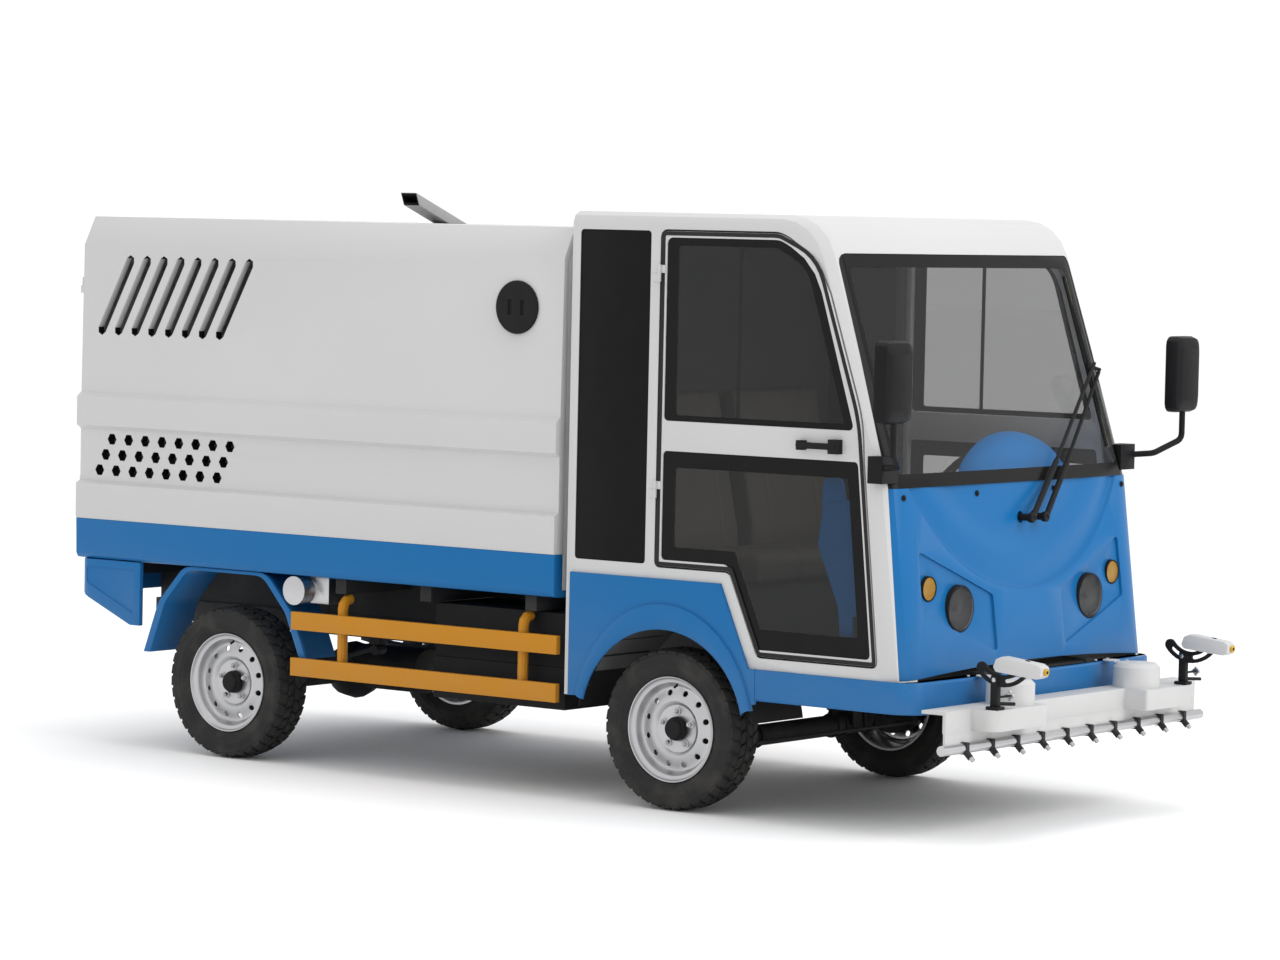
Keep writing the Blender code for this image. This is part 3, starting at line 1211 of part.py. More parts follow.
def build_front_axle(mats):
    """Dropped beam axle with kingpin bosses and its leaf springs."""
    beam_z = AXLE_Z - AXLE_DROP
    end = KINGPIN_X - 0.085
    path = [(-end, 0, AXLE_Z, 0.0), (-end + 0.05, 0, beam_z, 0.03), (end - 0.05, 0, beam_z, 0.03),
            (end, 0, AXLE_Z, 0.0)]
    axle = bar("front_axle", path, AXLE_RADIUS, mats["dark"], sides=14)
    parts = []
    for side in (-1, 1):
        label = side_name(side)
        parts.append(block(f"axle_neck_{label}", *corner_pair(
            (side * (end - 0.02), -0.024, AXLE_Z - 0.024),
            (side * (KINGPIN_X - 0.02), 0.024, AXLE_Z + 0.024))))
        parts.append(cylinder(f"kingpin_boss_{label}", (side * KINGPIN_X, 0, AXLE_Z), "Z", KINGPIN_BOSS,
                              -KINGPIN_BOSS_HEIGHT / 2, KINGPIN_BOSS_HEIGHT / 2, 12))
        x = side * SPRING_X
        base_z = AXLE_Z + AXLE_RADIUS + 0.022
        parts.append(block(f"axle_seat_{label}", (x - 0.035, -0.045, beam_z),
                           (x + 0.035, 0.045, base_z + 0.006)))
        parts += leaf_spring(f"front_spring_{label}", x, 0.0, base_z)
    join(axle, *parts)
    for side in (-1, 1):
        cut(axle, cylinder(f"kingpin_bore_{side_name(side)}", (side * KINGPIN_X, 0, AXLE_Z), "Z",
                           KINGPIN_RADIUS + BEARING_GAP, -0.1, 0.1, 10))


def build_rear_axle(mats):
    """Live axle with its differential and drive motor."""
    end = TRACK_HALF - RIM_WIDTH / 2 - 0.012
    axle = cylinder("rear_axle", (0, REAR_AXLE_Y, AXLE_Z), "X", REAR_AXLE_RADIUS, -end, end, 14,
                    mats["dark"])
    ball = [(-0.10, 0.0), (-0.10, 0.05), (-0.06, DIFFERENTIAL_RADIUS * 0.85), (0.0, DIFFERENTIAL_RADIUS),
            (0.06, DIFFERENTIAL_RADIUS * 0.85), (0.10, 0.05), (0.10, 0.0)]
    parts = [turned("differential", ball, (0, REAR_AXLE_Y, AXLE_Z), "X", 16),
             cylinder("drive_motor", (0, REAR_AXLE_Y, AXLE_Z + 0.02), "Y", 0.085, -0.36, -0.05, 14),
             cylinder("half_shafts", (0, REAR_AXLE_Y, AXLE_Z), "X", STUB_RADIUS,
                      -TRACK_HALF - 0.02, TRACK_HALF + 0.02, 10)]
    for side in (-1, 1):
        x = side * SPRING_X
        base_z = AXLE_Z + AXLE_RADIUS + 0.022
        parts.append(block(f"rear_seat_{side_name(side)}", (x - 0.035, REAR_AXLE_Y - 0.05, AXLE_Z - 0.01),
                           (x + 0.035, REAR_AXLE_Y + 0.05, base_z + 0.006)))
        parts += leaf_spring(f"rear_spring_{side_name(side)}", x, REAR_AXLE_Y, base_z)
    join(axle, *parts)


def build_knuckle(side, mats):
    """Steering knuckle: ears round the kingpin boss, stub axle and steering arm."""
    label = side_name(side)
    x = side * KINGPIN_X
    pivot = (x, 0, AXLE_Z)
    low = KINGPIN_BOSS_HEIGHT / 2 + EAR_GAP
    high = low + EAR_THICKNESS
    knuckle = cylinder(f"knuckle_{label}", pivot, "Z", KINGPIN_RADIUS, -high, high, 8, mats["steel"],
                       pivot=pivot)
    parts = []
    web_in, web_out = KINGPIN_X + KINGPIN_BOSS + 0.004, KINGPIN_X + KINGPIN_BOSS + 0.014
    for number, (a, b) in enumerate(((low, high), (-high, -low))):
        parts.append(cylinder(f"ear_{label}_{number}", pivot, "Z", KINGPIN_BOSS, a, b, 8))
        parts.append(block(f"ear_plate_{label}_{number}", *corner_pair(
            (x, -0.022, AXLE_Z + a), (side * web_out, 0.022, AXLE_Z + b))))
    parts.append(block(f"web_{label}", *corner_pair(
        (side * web_in, -0.024, AXLE_Z - high), (side * web_out, 0.024, AXLE_Z + high))))
    stub_end = TRACK_HALF + 0.02
    start, end = sorted((side * (web_in + 0.002), side * stub_end))
    parts.append(cylinder(f"stub_{label}", (0, 0, AXLE_Z), "X", STUB_RADIUS, start, end, 10))
    arm_z = AXLE_Z - (low + high) / 2
    parts.append(block(f"arm_{label}", (x - 0.013, -STEERING_ARM, arm_z - EAR_THICKNESS / 2 + 0.001),
                       (x + 0.013, -0.01, arm_z + EAR_THICKNESS / 2 - 0.001)))
    parts.append(cylinder(f"arm_end_{label}", (x, -STEERING_ARM, arm_z), "Z", 0.016,
                          -EAR_THICKNESS / 2 + 0.0015, EAR_THICKNESS / 2 - 0.0015, 10))
    parts.append(cylinder(f"tie_pin_{label}", (x, -STEERING_ARM, arm_z), "Z", TIE_PIN_RADIUS, -0.028, 0.0,
                          8))
    join(knuckle, *parts)


def tie_rod_z():
    low = KINGPIN_BOSS_HEIGHT / 2 + EAR_GAP
    return AXLE_Z - low - EAR_THICKNESS - 0.002 - 0.007


def build_tie_rod(mats):
    z = tie_rod_z()
    pivot = (-KINGPIN_X, -STEERING_ARM, z)
    rod = cylinder("tie_rod", (0, -STEERING_ARM, z), "X", TIE_ROD_RADIUS * 0.6, -KINGPIN_X + 0.012,
                   KINGPIN_X - 0.012, 8, mats["steel"], pivot=pivot)
    for side in (-1, 1):
        join(rod, cylinder(f"tie_eye_{side}", (side * KINGPIN_X, -STEERING_ARM, z), "Z", TIE_ROD_EYE,
                           -0.007, 0.007, 12))
    for side in (-1, 1):
        cut(rod, cylinder(f"tie_bore_{side}", (side * KINGPIN_X, -STEERING_ARM, z), "Z",
                          TIE_PIN_RADIUS + BEARING_GAP, -0.05, 0.05, 8))


def tyre_profile():
    half = TYRE_WIDTH / 2
    bead = RIM_RADIUS - 0.015
    right = [(RIM_WIDTH / 2 - 0.010, bead), (RIM_WIDTH / 2 - 0.010, RIM_RADIUS + 0.004),
             (half * 0.90, RIM_RADIUS + 0.018), (half, RIM_RADIUS + 0.048),
             (half * 0.93, TYRE_RADIUS - 0.016),
             (half * 0.75, TYRE_RADIUS)]
    return right + [(-a, r) for a, r in reversed(right)]


def rim_profile():
    """Rim section from the hub out: (distance outboard of the wheel's centre, radius)."""
    lip = RIM_WIDTH / 2
    bead = RIM_RADIUS - 0.0155
    well = RIM_RADIUS - 0.040
    bore = STUB_RADIUS + BEARING_GAP
    outline = [
        (lip, RIM_RADIUS), (lip, bead - RIM_WALL), (0.016, well - RIM_WALL), (0.038, VENT_CIRCLE - 0.006),
        (0.018, 0.082), (0.018, HUB_RADIUS + 0.012), (0.052, HUB_RADIUS - 0.006), (0.056, 0.0),
    ]
    inside = [
        (0.024, 0.0), (0.024, bore), (-0.040, bore), (-0.040, HUB_RADIUS - 0.004),
        (0.008, HUB_RADIUS + 0.012),
        (0.008, 0.086), (0.028, VENT_CIRCLE - 0.006), (-0.008, well - RIM_WALL), (-lip, bead - RIM_WALL),
        (-lip, RIM_RADIUS), (-lip + 0.009, bead), (-0.020, well), (0.020, well), (lip - 0.009, bead),
    ]
    return outline, inside


def build_wheel(label, side, y, mats):
    centre = (side * TRACK_HALF, y, AXLE_Z)
    tyre = [(side * a, r) for a, r in tyre_profile()]
    turned(f"tyre_{label}", tyre, centre, "X", 28, mats["tyre"], closed=True, pivot=centre)
    outline, inside = rim_profile()
    # The hub's blind bore starts and ends on the axis, so the outline runs from one axis point to the other.
    rim = turned(f"rim_{label}", [(side * a, r) for a, r in inside + outline], centre, "X", 16,
                 mats["rim"], pivot=centre)
    bm = bmesh.new()
    for k in range(VENT_COUNT):
        turn = 2 * math.pi * k / VENT_COUNT
        hole = (y + VENT_CIRCLE * math.cos(turn), AXLE_Z + VENT_CIRCLE * math.sin(turn))
        extrude(bm, arc(hole, VENT_RADIUS, 0, 300, 5), "X", side * (TRACK_HALF - 0.02),
                side * (TRACK_HALF + 0.10))
    cut(rim, finish(f"vents_{label}", bm))


# Lower body

def build_battery(mats):
    """Battery trays slung outside the rails, tied across under them."""
    pack = block("battery_pack", (-BATTERY_HALF, BATTERY_FRONT, BATTERY_BOTTOM),
                 (BATTERY_HALF, BATTERY_REAR, RAIL_BOTTOM - TOUCH), mats["dark"])
    inner = RAIL_X + RAIL_WIDTH / 2 + 0.004
    for side in (-1, 1):
        join(pack, block(f"battery_case_{side_name(side)}", *corner_pair(
            (side * inner, BATTERY_FRONT + 0.005, BATTERY_BOTTOM + 0.02),
            (side * (BATTERY_HALF - 0.001), BATTERY_REAR - 0.005, BATTERY_TOP))))


def guard_bar(name, side, z, mat=None):
    low, high = corner_pair((side * GUARD_X, GUARD_FRONT, z - GUARD_BAR / 2),
                            (side * (GUARD_X + GUARD_THICKNESS), GUARD_REAR, z + GUARD_BAR / 2))
    return block(name, low, high, mat)


def build_guard(side, mats):
    """Side guard: two flat bars on two bent tube posts."""
    label = side_name(side)
    guard = guard_bar(f"side_guard_{label}", side, GUARD_UPPER_Z, mats["orange"])
    join(guard, guard_bar(f"guard_lower_{label}", side, GUARD_LOWER_Z))
    post_x = GUARD_X - GUARD_POST_RADIUS + 0.003
    top_z = BOX_FLOOR - BEARER_DEPTH - GUARD_POST_RADIUS - TOUCH
    for number, y in enumerate(GUARD_POSTS):
        join(guard, bar(f"guard_post_{label}_{number}", [
            (side * (GUARD_X - 0.057), y, top_z), (side * post_x, y, top_z, 0.035),
            (side * post_x, y, GUARD_LOWER_Z - GUARD_BAR / 2 + 0.004)], GUARD_POST_RADIUS))


def strip(outer, inner):
    return outer + inner[::-1]


def build_mudguard(side, mats):
    label = side_name(side)
    inner = round_corners(mudguard_points(0.0), 4)
    sheet = strip(round_corners(mudguard_points(MUDGUARD_THICKNESS), 4), inner)
    guard = prism(f"rear_mudguard_{label}", sheet, "X", side * MUDGUARD_INNER_X,
                  side * (MUDGUARD_OUTER_X - 0.006),
                  mats["blue"])
    lip = strip(round_corners(mudguard_points(MUDGUARD_LIP), 4), inner)
    join(guard, prism(f"mudguard_lip_{label}", lip, "X", side * (MUDGUARD_OUTER_X - 0.018),
                      side * MUDGUARD_OUTER_X))


def mudguard_points(offset):
    top = BOX_FLOOR - TOUCH - MUDGUARD_THICKNESS + min(offset, MUDGUARD_THICKNESS)
    return [
        (REAR_AXLE_Y - 0.372 - offset, 0.395, 0.0), (REAR_AXLE_Y - 0.300 - offset, 0.560, 0.10),
        (REAR_AXLE_Y - 0.185 - offset * 0.6, top, 0.08), (REAR_AXLE_Y + 0.185 + offset * 0.6, top, 0.08),
        (REAR_AXLE_Y + 0.300 + offset, 0.560, 0.10), (REAR_AXLE_Y + 0.372 + offset, 0.367, 0.0)]


def build_rear_apron(mats):
    """Blue tail apron that wraps round both rear corners and carries the tail lamps."""
    half, rear, corner, front = APRON_HALF, APRON_REAR, APRON_CORNER, APRON_FRONT
    outer = [(half, front)] + arc((half - corner, rear - corner), corner, 0, 90, 4)
    inner = [(half - APRON_WALL, front), (half - APRON_WALL, rear - APRON_WALL)]
    outline = outer + [(-x, y) for x, y in reversed(outer)] + [(-x, y) for x, y in inner] + inner[::-1]
    apron = prism("rear_apron", outline, "Z", APRON_BOTTOM, BOX_FLOOR - TOUCH, mats["blue"])
    lean = [(front - 0.16, 0.3), (front + 0.019, APRON_BOTTOM - 0.013),
            (rear + 0.025, APRON_BOTTOM + 0.122),
            (rear + 0.125, APRON_BOTTOM + 0.122), (rear + 0.125, 0.3)]
    cut(apron, prism("apron_underside", lean, "X", -1, 1))
    (lamp_x, lamp_z), (lamp_end, lamp_top) = TAIL_LAMP
    for side in (-1, 1):
        join(apron, block(f"tail_lamp_{side_name(side)}", *corner_pair(
            (side * lamp_x, rear - 0.002, lamp_z), (side * lamp_end, rear + TAIL_LAMP_DEPTH, lamp_top))))


def build_side_valve(mats):
    """Drain fitting: square body with a round capped outlet."""
    body = block("side_valve", (VALVE_X - 0.045, VALVE_Y - 0.117, VALVE_Z - 0.046),
                 (VALVE_X + 0.040, VALVE_Y - 0.027, BOX_FLOOR - TOUCH), mats["steel"])
    join(body, cylinder("valve_cap", (0, VALVE_Y, VALVE_Z), "X", VALVE_CAP_RADIUS, VALVE_X - 0.105,
                        VALVE_X, 20),
         cylinder("valve_neck", (VALVE_X, 0, VALVE_Z), "Y", 0.030, VALVE_Y - 0.037, VALVE_Y + 0.003, 14))


# Spray gear

def build_spray_bar(mats):
    """Carrier under the bumper: channel, two end boxes with motors, pipe and nozzles."""
    face = SPRAY_PLATE_Y
    half = SPRAY_PLATE_HALF
    carrier = block("spray_bar", (-half, face, SPRAY_PLATE_BOTTOM), (half, face + SPRAY_SHEET, SPRAY_TOP),
                    mats["white"])
    parts = [block("carrier_shelf", (-half, face, SPRAY_TOP - 0.011),
                   (half, face + SPRAY_SHELF, SPRAY_TOP)),
             block("carrier_flange", (-half, face + 0.001, SPRAY_FLANGE_BOTTOM),
                   (half, face + SPRAY_SHEET - 0.003, SPRAY_PLATE_BOTTOM + 0.010))]
    for side in (-1, 1):
        label = side_name(side)
        case = round_corners([
            (side * SPRAY_BOX_INNER, face + 0.010, 0.0), (side * SPRAY_BOX_OUTER, face + 0.010, 0.0),
            (side * SPRAY_BOX_OUTER, face - SPRAY_BOX_DEPTH, 0.045),
            (side * SPRAY_BOX_INNER, face - SPRAY_BOX_DEPTH, 0.012)])
        parts.append(prism(f"spray_box_{label}", case, "Z", SPRAY_PLATE_BOTTOM, SPRAY_TOP - 0.0005))
        motor = [(SPRAY_PLATE_BOTTOM + 0.01, 0.0), (SPRAY_PLATE_BOTTOM + 0.01, SPRAY_MOTOR_RADIUS),
                 (SPRAY_MOTOR_TOP - 0.014, SPRAY_MOTOR_RADIUS),
                 (SPRAY_MOTOR_TOP, SPRAY_MOTOR_RADIUS - 0.014),
                 (SPRAY_MOTOR_TOP, 0.0)]
        parts.append(turned(f"spray_motor_{label}", motor, (side * SPRAY_MOTOR_X, face + 0.005, 0), "Z",
                            18))
        arm_in, arm_out = side * (RAIL_X - 0.03), side * (RAIL_X + 0.03)
        arm_end = RAIL_FRONT + 0.085
        parts.append(block(f"spray_arm_{label}", *corner_pair((arm_in, face + 0.002, 0.385),
                                                              (arm_out, arm_end, 0.405))))
        parts.append(block(f"spray_drop_{label}", *corner_pair((arm_in, arm_end - 0.05, 0.39),
                                                               (arm_out, arm_end, RAIL_BOTTOM - TOUCH))))
        parts.append(block(f"pipe_hanger_{label}", *corner_pair((side * 0.50, face + 0.001,
                                                                 SPRAY_PIPE_Z - 0.006),
                                                                (side * 0.53, face + 0.009,
                                                                 SPRAY_PIPE_Z + 0.029))))
    parts.append(cylinder("spray_pipe", (0, face - 0.004, SPRAY_PIPE_Z), "X", SPRAY_PIPE_RADIUS,
                          -SPRAY_PIPE_HALF, SPRAY_PIPE_HALF, 10))
    reach = (NOZZLE_COUNT - 1) * NOZZLE_PITCH / 2
    for k in range(NOZZLE_COUNT):
        x = -reach + k * NOZZLE_PITCH
        parts.append(bar(f"nozzle_{k}", [(x, face - 0.008, SPRAY_PIPE_Z - 0.004),
                                         (x, face - 0.045, SPRAY_PIPE_Z - 0.038)],
                         0.008, sides=6))
    join(carrier, *parts)


def band(centre, radius, width, first, last, steps=10):
    """Curved band of a width along an arc."""
    outer = arc(centre, radius + width / 2, first, last, steps)
    return strip(outer, arc(centre, radius - width / 2, first, last, steps))


def build_spray_head(side, mats):
    """Swivel bracket with a slotted arc and the spray gun on it."""
    label = side_name(side)
    x = side * SPRAY_HEAD_X
    tip = 0.012
    angle = math.radians(GUN_PITCH)
    nose = Vector((x, -NOSE_REACH + GUN_TIP_RADIUS * math.sin(angle), GUN_Z))
    aim = Vector((0, math.cos(angle), math.sin(angle)))
    up = Vector((0, -math.sin(angle), math.cos(angle)))
    gun = []
    for along, size in ((tip, GUN_SIZE * 0.66), (tip + 0.035, GUN_SIZE), (GUN_LENGTH, GUN_SIZE),
                        (GUN_LENGTH + 0.012, GUN_SIZE * 0.83)):
        centre = nose + aim * along
        ring = round_corners([(p * size, q * size, size * 0.4) for p,
                              q in ((-1, -1), (1, -1), (1, 1), (-1, 1))], 1)
        gun.append([tuple(centre + Vector((p, 0, 0)) + up * q) for p, q in ring])
    head = loft(f"spray_head_{label}", gun, mats["white"])
    tip_bar = bar(f"gun_tip_{label}", [tuple(nose), tuple(nose + aim * (tip + 0.02))], GUN_TIP_RADIUS,
                  sides=12)
    front = SPRAY_PLATE_Y - SPRAY_BOX_DEPTH
    centre = (front, ARC_CENTRE_Z)
    first, last = ARC_SPAN
    bracket = prism(f"arc_bracket_{label}", band(centre, ARC_RADIUS, ARC_WIDTH, first, last), "X",
                    x - ARC_THICKNESS / 2, x + ARC_THICKNESS / 2)
    cut(bracket, prism(f"arc_slot_{label}", band(centre, ARC_RADIUS, ARC_SLOT, first + 22, last - 12), "X",
                       x - ARC_THICKNESS, x + ARC_THICKNESS))
    post = block(f"bracket_post_{label}", (x - 0.02, front + 0.007, SPRAY_TOP - 0.0005 + TOUCH),
                 (x + 0.02, front + 0.047, SPRAY_TOP + 0.011))
    column = block(f"bracket_column_{label}", (x - 0.010, front + 0.014, SPRAY_TOP + 0.009),
                   (x + 0.010, front + 0.040, ARC_CENTRE_Z - ARC_RADIUS + 0.010))
    join(head, bracket, post, column, tip_bar)


def build_materials():
    return {
        "white": make_material("white_paint", (0.80, 0.80, 0.80), 0.35),
        "blue": make_material("blue_paint", (0.027, 0.19, 0.49), 0.35),
        "orange": make_material("orange_paint", (0.57, 0.25, 0.013), 0.4),
        "black": make_material("black_plastic", (0.02, 0.02, 0.02), 0.5),
        "dark": make_material("dark_steel", (0.02, 0.02, 0.022), 0.6),
        "rubber": make_material("soft_black", (0.015, 0.015, 0.015), 0.7),
        "tyre": make_material("tyre_rubber", (0.018, 0.018, 0.018), 0.8),
        "rim": make_material("silver_rim", (0.6, 0.6, 0.6), 0.3, 0.9),
        "steel": make_material("bright_steel", (0.55, 0.55, 0.55), 0.35, 0.8),
        "seat": make_material("seat_cover", (0.20, 0.19, 0.15), 0.7),
        "glass": make_material("tinted_glass", (0.05, 0.05, 0.05), 0.05, 0.0, 0.35),
        "lamp": make_material("lamp_lens", (0.03, 0.03, 0.03), 0.15),
    }


def main():
    clear_scene()
    origin = bpy.data.objects.new("vehicle_origin", None)
    bpy.context.scene.collection.objects.link(origin)
    origin.location = (0.0, (NOSE_REACH - TAIL_REACH) / 2, 0.0)
    mats = build_materials()
    build_frame(mats)
    build_front_axle(mats)
    build_rear_axle(mats)
    build_tie_rod(mats)
    build_battery(mats)
    build_cab_shell(mats)
    build_nose(mats)
    build_bumper(mats)
    build_cab_floor(mats)
    build_seats(mats)
    build_dashboard(mats)
    build_steering_wheel(mats)
    build_wiper(mats)
    build_box_floor(mats)
    build_box_roof(mats)
    build_port_cap(mats)
    build_filler_chute(mats)
    build_tank(mats)
    build_rear_apron(mats)
    build_side_valve(mats)
    build_spray_bar(mats)
    for side in (-1, 1):
        label = side_name(side)
        build_knuckle(side, mats)
        build_wheel(f"front_{label}", side, 0.0, mats)
        build_wheel(f"rear_{label}", side, REAR_AXLE_Y, mats)
        build_side_panel(side, mats)
        build_quarter_panel(side, mats)
        build_door(side, mats)
        build_lamp(side, mats)
        build_mirror(side, mats)
        build_box_side(side, mats)
        build_rear_door(side, mats)
        build_guard(side, mats)
        build_mudguard(side, mats)
        build_spray_head(side, mats)


main()
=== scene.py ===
"""Finishes and fine parts of the small electric cleaning truck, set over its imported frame.

Metres, +Z up, the front facing -Y and the right-hand side at -X.
"""

import json
import math

import bpy
from bpy.props import FloatProperty, FloatVectorProperty, IntProperty, PointerProperty
from mathutils import Matrix, Vector
from mathutils.bvhtree import BVHTree


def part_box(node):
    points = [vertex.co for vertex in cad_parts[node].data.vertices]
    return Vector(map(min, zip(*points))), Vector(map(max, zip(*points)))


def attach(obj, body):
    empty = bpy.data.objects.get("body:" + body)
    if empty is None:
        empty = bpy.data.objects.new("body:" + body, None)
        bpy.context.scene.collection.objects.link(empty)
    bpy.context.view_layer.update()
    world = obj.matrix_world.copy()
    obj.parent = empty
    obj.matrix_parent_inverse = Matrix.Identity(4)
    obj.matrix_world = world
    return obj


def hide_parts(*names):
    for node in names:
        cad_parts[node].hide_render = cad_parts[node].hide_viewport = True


bl_info = {
    "name": "Cleaning truck",
    "version": (1, 0, 0),
    "blender": (4, 5, 0),
    "location": "3D View > Sidebar > Cleaning truck",
    "description": "Finishes and fine parts of a small high-pressure cleaning truck",
    "category": "Object",
}

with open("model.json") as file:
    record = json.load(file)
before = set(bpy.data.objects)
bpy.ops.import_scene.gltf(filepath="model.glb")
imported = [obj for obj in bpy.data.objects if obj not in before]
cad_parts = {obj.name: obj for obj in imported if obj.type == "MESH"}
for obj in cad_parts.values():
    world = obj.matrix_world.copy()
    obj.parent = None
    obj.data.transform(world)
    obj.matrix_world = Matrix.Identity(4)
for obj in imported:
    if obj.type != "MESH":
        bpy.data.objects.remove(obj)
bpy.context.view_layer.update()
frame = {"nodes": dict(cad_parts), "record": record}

FRONT_AXLE_Y = sum(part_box("tyre_front_left")[k][1] for k in (0, 1)) / 2
REAR_AXLE_Y = sum(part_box("tyre_rear_left")[k][1] for k in (0, 1)) / 2
AXLE_Z = sum(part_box("tyre_front_left")[k][2] for k in (0, 1)) / 2
TYRE_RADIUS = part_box("tyre_front_left")[1][2] - AXLE_Z
WHEEL_X = sum(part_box("tyre_front_left")[k][0] for k in (0, 1)) / 2
TYRE_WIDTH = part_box("tyre_front_left")[1][0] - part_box("tyre_front_left")[0][0]
SIDES = {"left": 1.0, "right": -1.0}


# Finishes

class Value:
    """A socket of a finish's node tree, worked with Python's own operators."""

    def __init__(self, finish, socket):
        self.finish = finish
        self.socket = socket

    def maths(self, operation, *others):
        """A math node that this value feeds first."""
        inputs = dict(enumerate((self, *others)))
        return self.finish.node("ShaderNodeMath", {"operation": operation}, inputs)

    def reflected(self, operation, other):
        """A math node that this value feeds second."""
        return self.finish.node("ShaderNodeMath", {"operation": operation}, {0: other, 1: self})

    def __add__(self, other):
        return self.maths("ADD", other)

    def __radd__(self, other):
        return self.reflected("ADD", other)

    def __sub__(self, other):
        return self.maths("SUBTRACT", other)

    def __rsub__(self, other):
        return self.reflected("SUBTRACT", other)

    def __mul__(self, other):
        return self.maths("MULTIPLY", other)

    def fade(self, low, high):
        """0 below low and 1 above high, smooth in between."""
        return self.finish.node(
            "ShaderNodeMapRange", {"interpolation_type": "SMOOTHSTEP"},
            {"Value": self, "From Min": low, "From Max": high})


class Finish:
    """A material whose Principled shader is fed by node expressions."""

    def __init__(self, name, colour, roughness, metallic=0.0, **sockets):
        self.material = bpy.data.materials.new(name)
        self.material.use_nodes = True
        self.tree = self.material.node_tree
        self.shader = self.tree.nodes["Principled BSDF"]
        self.set("Base Color", (*colour, 1.0))
        self.set("Roughness", roughness)
        self.set("Metallic", metallic)
        for socket, value in sockets.items():
            self.set(socket.replace("_", " ").title().replace("Ior", "IOR"), value)
        place = self.tree.nodes.new("ShaderNodeTexCoord")
        self.place = Value(self, place.outputs["Object"])

    def set(self, socket, value):
        """Gives a socket of the shader a constant or a link."""
        if isinstance(value, Value):
            self.tree.links.new(value.socket, self.shader.inputs[socket])
        else:
            self.shader.inputs[socket].default_value = value

    def node(self, kind, settings=None, inputs=None, output=0):
        """One node: its settings first, then its sockets' values or links."""
        made = self.tree.nodes.new(kind)
        for name, value in (settings or {}).items():
            setattr(made, name, value)
        for socket, value in (inputs or {}).items():
            if isinstance(value, Value):
                self.tree.links.new(value.socket, made.inputs[socket])
            else:
                made.inputs[socket].default_value = value
        return Value(self, made.outputs[output])

    def noise(self, scale, detail=2.0, stretch=None):
        """Soft noise from 0 to 1 in object space."""
        where = self.place
        if stretch:
            where = self.node("ShaderNodeMapping", None, {"Vector": where, "Scale": stretch})
        return self.node("ShaderNodeTexNoise", None, {"Vector": where, "Scale": scale, "Detail": detail},
                         "Fac")

    def cells(self, scale, feature="F1"):
        """Distance inside small cells, for grained plastic and leather."""
        return self.node("ShaderNodeTexVoronoi", {"feature": feature},
                         {"Vector": self.place, "Scale": scale}, "Distance")

    def along(self, axis):
        """One object-space coordinate in metres."""
        return self.node("ShaderNodeSeparateXYZ", None, {"Vector": self.place}, axis)

    def blend(self, share, first, second):
        """Mixes two colours by a value."""
        ends = [(*end, 1.0) if isinstance(end, tuple) and len(end) == 3 else end for end in (first, second)]
        return self.node("ShaderNodeMix", {"data_type": "RGBA"}, {0: share, 6: ends[0], 7: ends[1]}, 2)

    def bump(self, height, strength, distance=0.001):
        """Roughens the surface by a height value."""
        self.set("Normal", self.node(
            "ShaderNodeBump", None, {"Height": height, "Strength": strength, "Distance": distance}))


FINISHES = {}


def shade(colour, factor):
    """A colour made darker or lighter by a factor."""
    return tuple(min(1.0, channel * factor) for channel in colour)


def paint(name, colour, gloss=0.34, coat=0.25):
    """Sprayed paint: faint orange peel, a slight tone drift and road film low down."""
    finish = Finish(name, colour, gloss, coat_weight=coat, coat_roughness=0.18, specular_ior_level=0.12)
    drift = finish.noise(1.7, 3.0)
    film = (1.0 - finish.along("Z").fade(0.25, 0.85)) * finish.noise(9.0, 5.0) * 0.16
    tone = finish.blend(drift, shade(colour, 0.965), shade(colour, 1.03))
    finish.set("Base Color", finish.blend(film, tone, (0.30, 0.27, 0.23)))
    finish.set("Roughness", gloss + finish.noise(26.0, 3.0) * 0.07 + film * 0.6)
    finish.bump(finish.noise(330.0, 1.0), 0.05, 0.0006)
    return finish.material


def plastic(name, colour, roughness=0.5, grain=900.0, strength=0.18):
    """Moulded plastic with a fine grain."""
    finish = Finish(name, colour, roughness, specular_ior_level=0.08)
    finish.set("Base Color", finish.blend(finish.noise(14.0, 4.0), shade(colour, 0.85), shade(colour, 1.2)))
    finish.set("Roughness", roughness + finish.noise(40.0, 2.0) * 0.12 - 0.05)
    finish.bump(finish.cells(grain), strength, 0.0005)
    return finish.material


def rubber(name, colour, dust=0.10):
    """Tyre rubber: matt, a little dusty, finely rough."""
    finish = Finish(name, colour, 0.78, specular_ior_level=0.25)
    powder = finish.noise(11.0, 6.0).fade(0.42, 0.75) * dust
    finish.set("Base Color", finish.blend(powder, colour, (0.22, 0.20, 0.17)))
    finish.set("Roughness", 0.70 + finish.noise(60.0, 3.0) * 0.18)
    finish.bump(finish.noise(520.0, 3.0), 0.25, 0.0007)
    return finish.material


def bare_metal(name, colour, roughness=0.32, stretch=(1.0, 1.0, 1.0), scale=160.0):
    """Bare or silvered metal with fine drawn marks."""
    finish = Finish(name, colour, roughness, 1.0)
    marks = finish.noise(scale, 4.0, stretch)
    finish.set("Base Color", finish.blend(finish.noise(7.0, 4.0), shade(colour, 0.90), shade(colour, 1.05)))
    finish.set("Roughness", roughness - 0.06 + marks * 0.16)
    finish.bump(marks, 0.06, 0.0004)
    return finish.material


def chassis_black(name, colour):
    """Brushed black chassis paint with grime."""
    finish = Finish(name, colour, 0.55, specular_ior_level=0.25)
    grime = finish.noise(6.0, 6.0).fade(0.45, 0.8) * 0.25
    finish.set("Base Color", finish.blend(grime, colour, (0.07, 0.065, 0.055)))
    finish.set("Roughness", 0.5 + finish.noise(30.0, 4.0) * 0.25)
    finish.bump(finish.noise(210.0, 4.0), 0.2, 0.0008)
    return finish.material


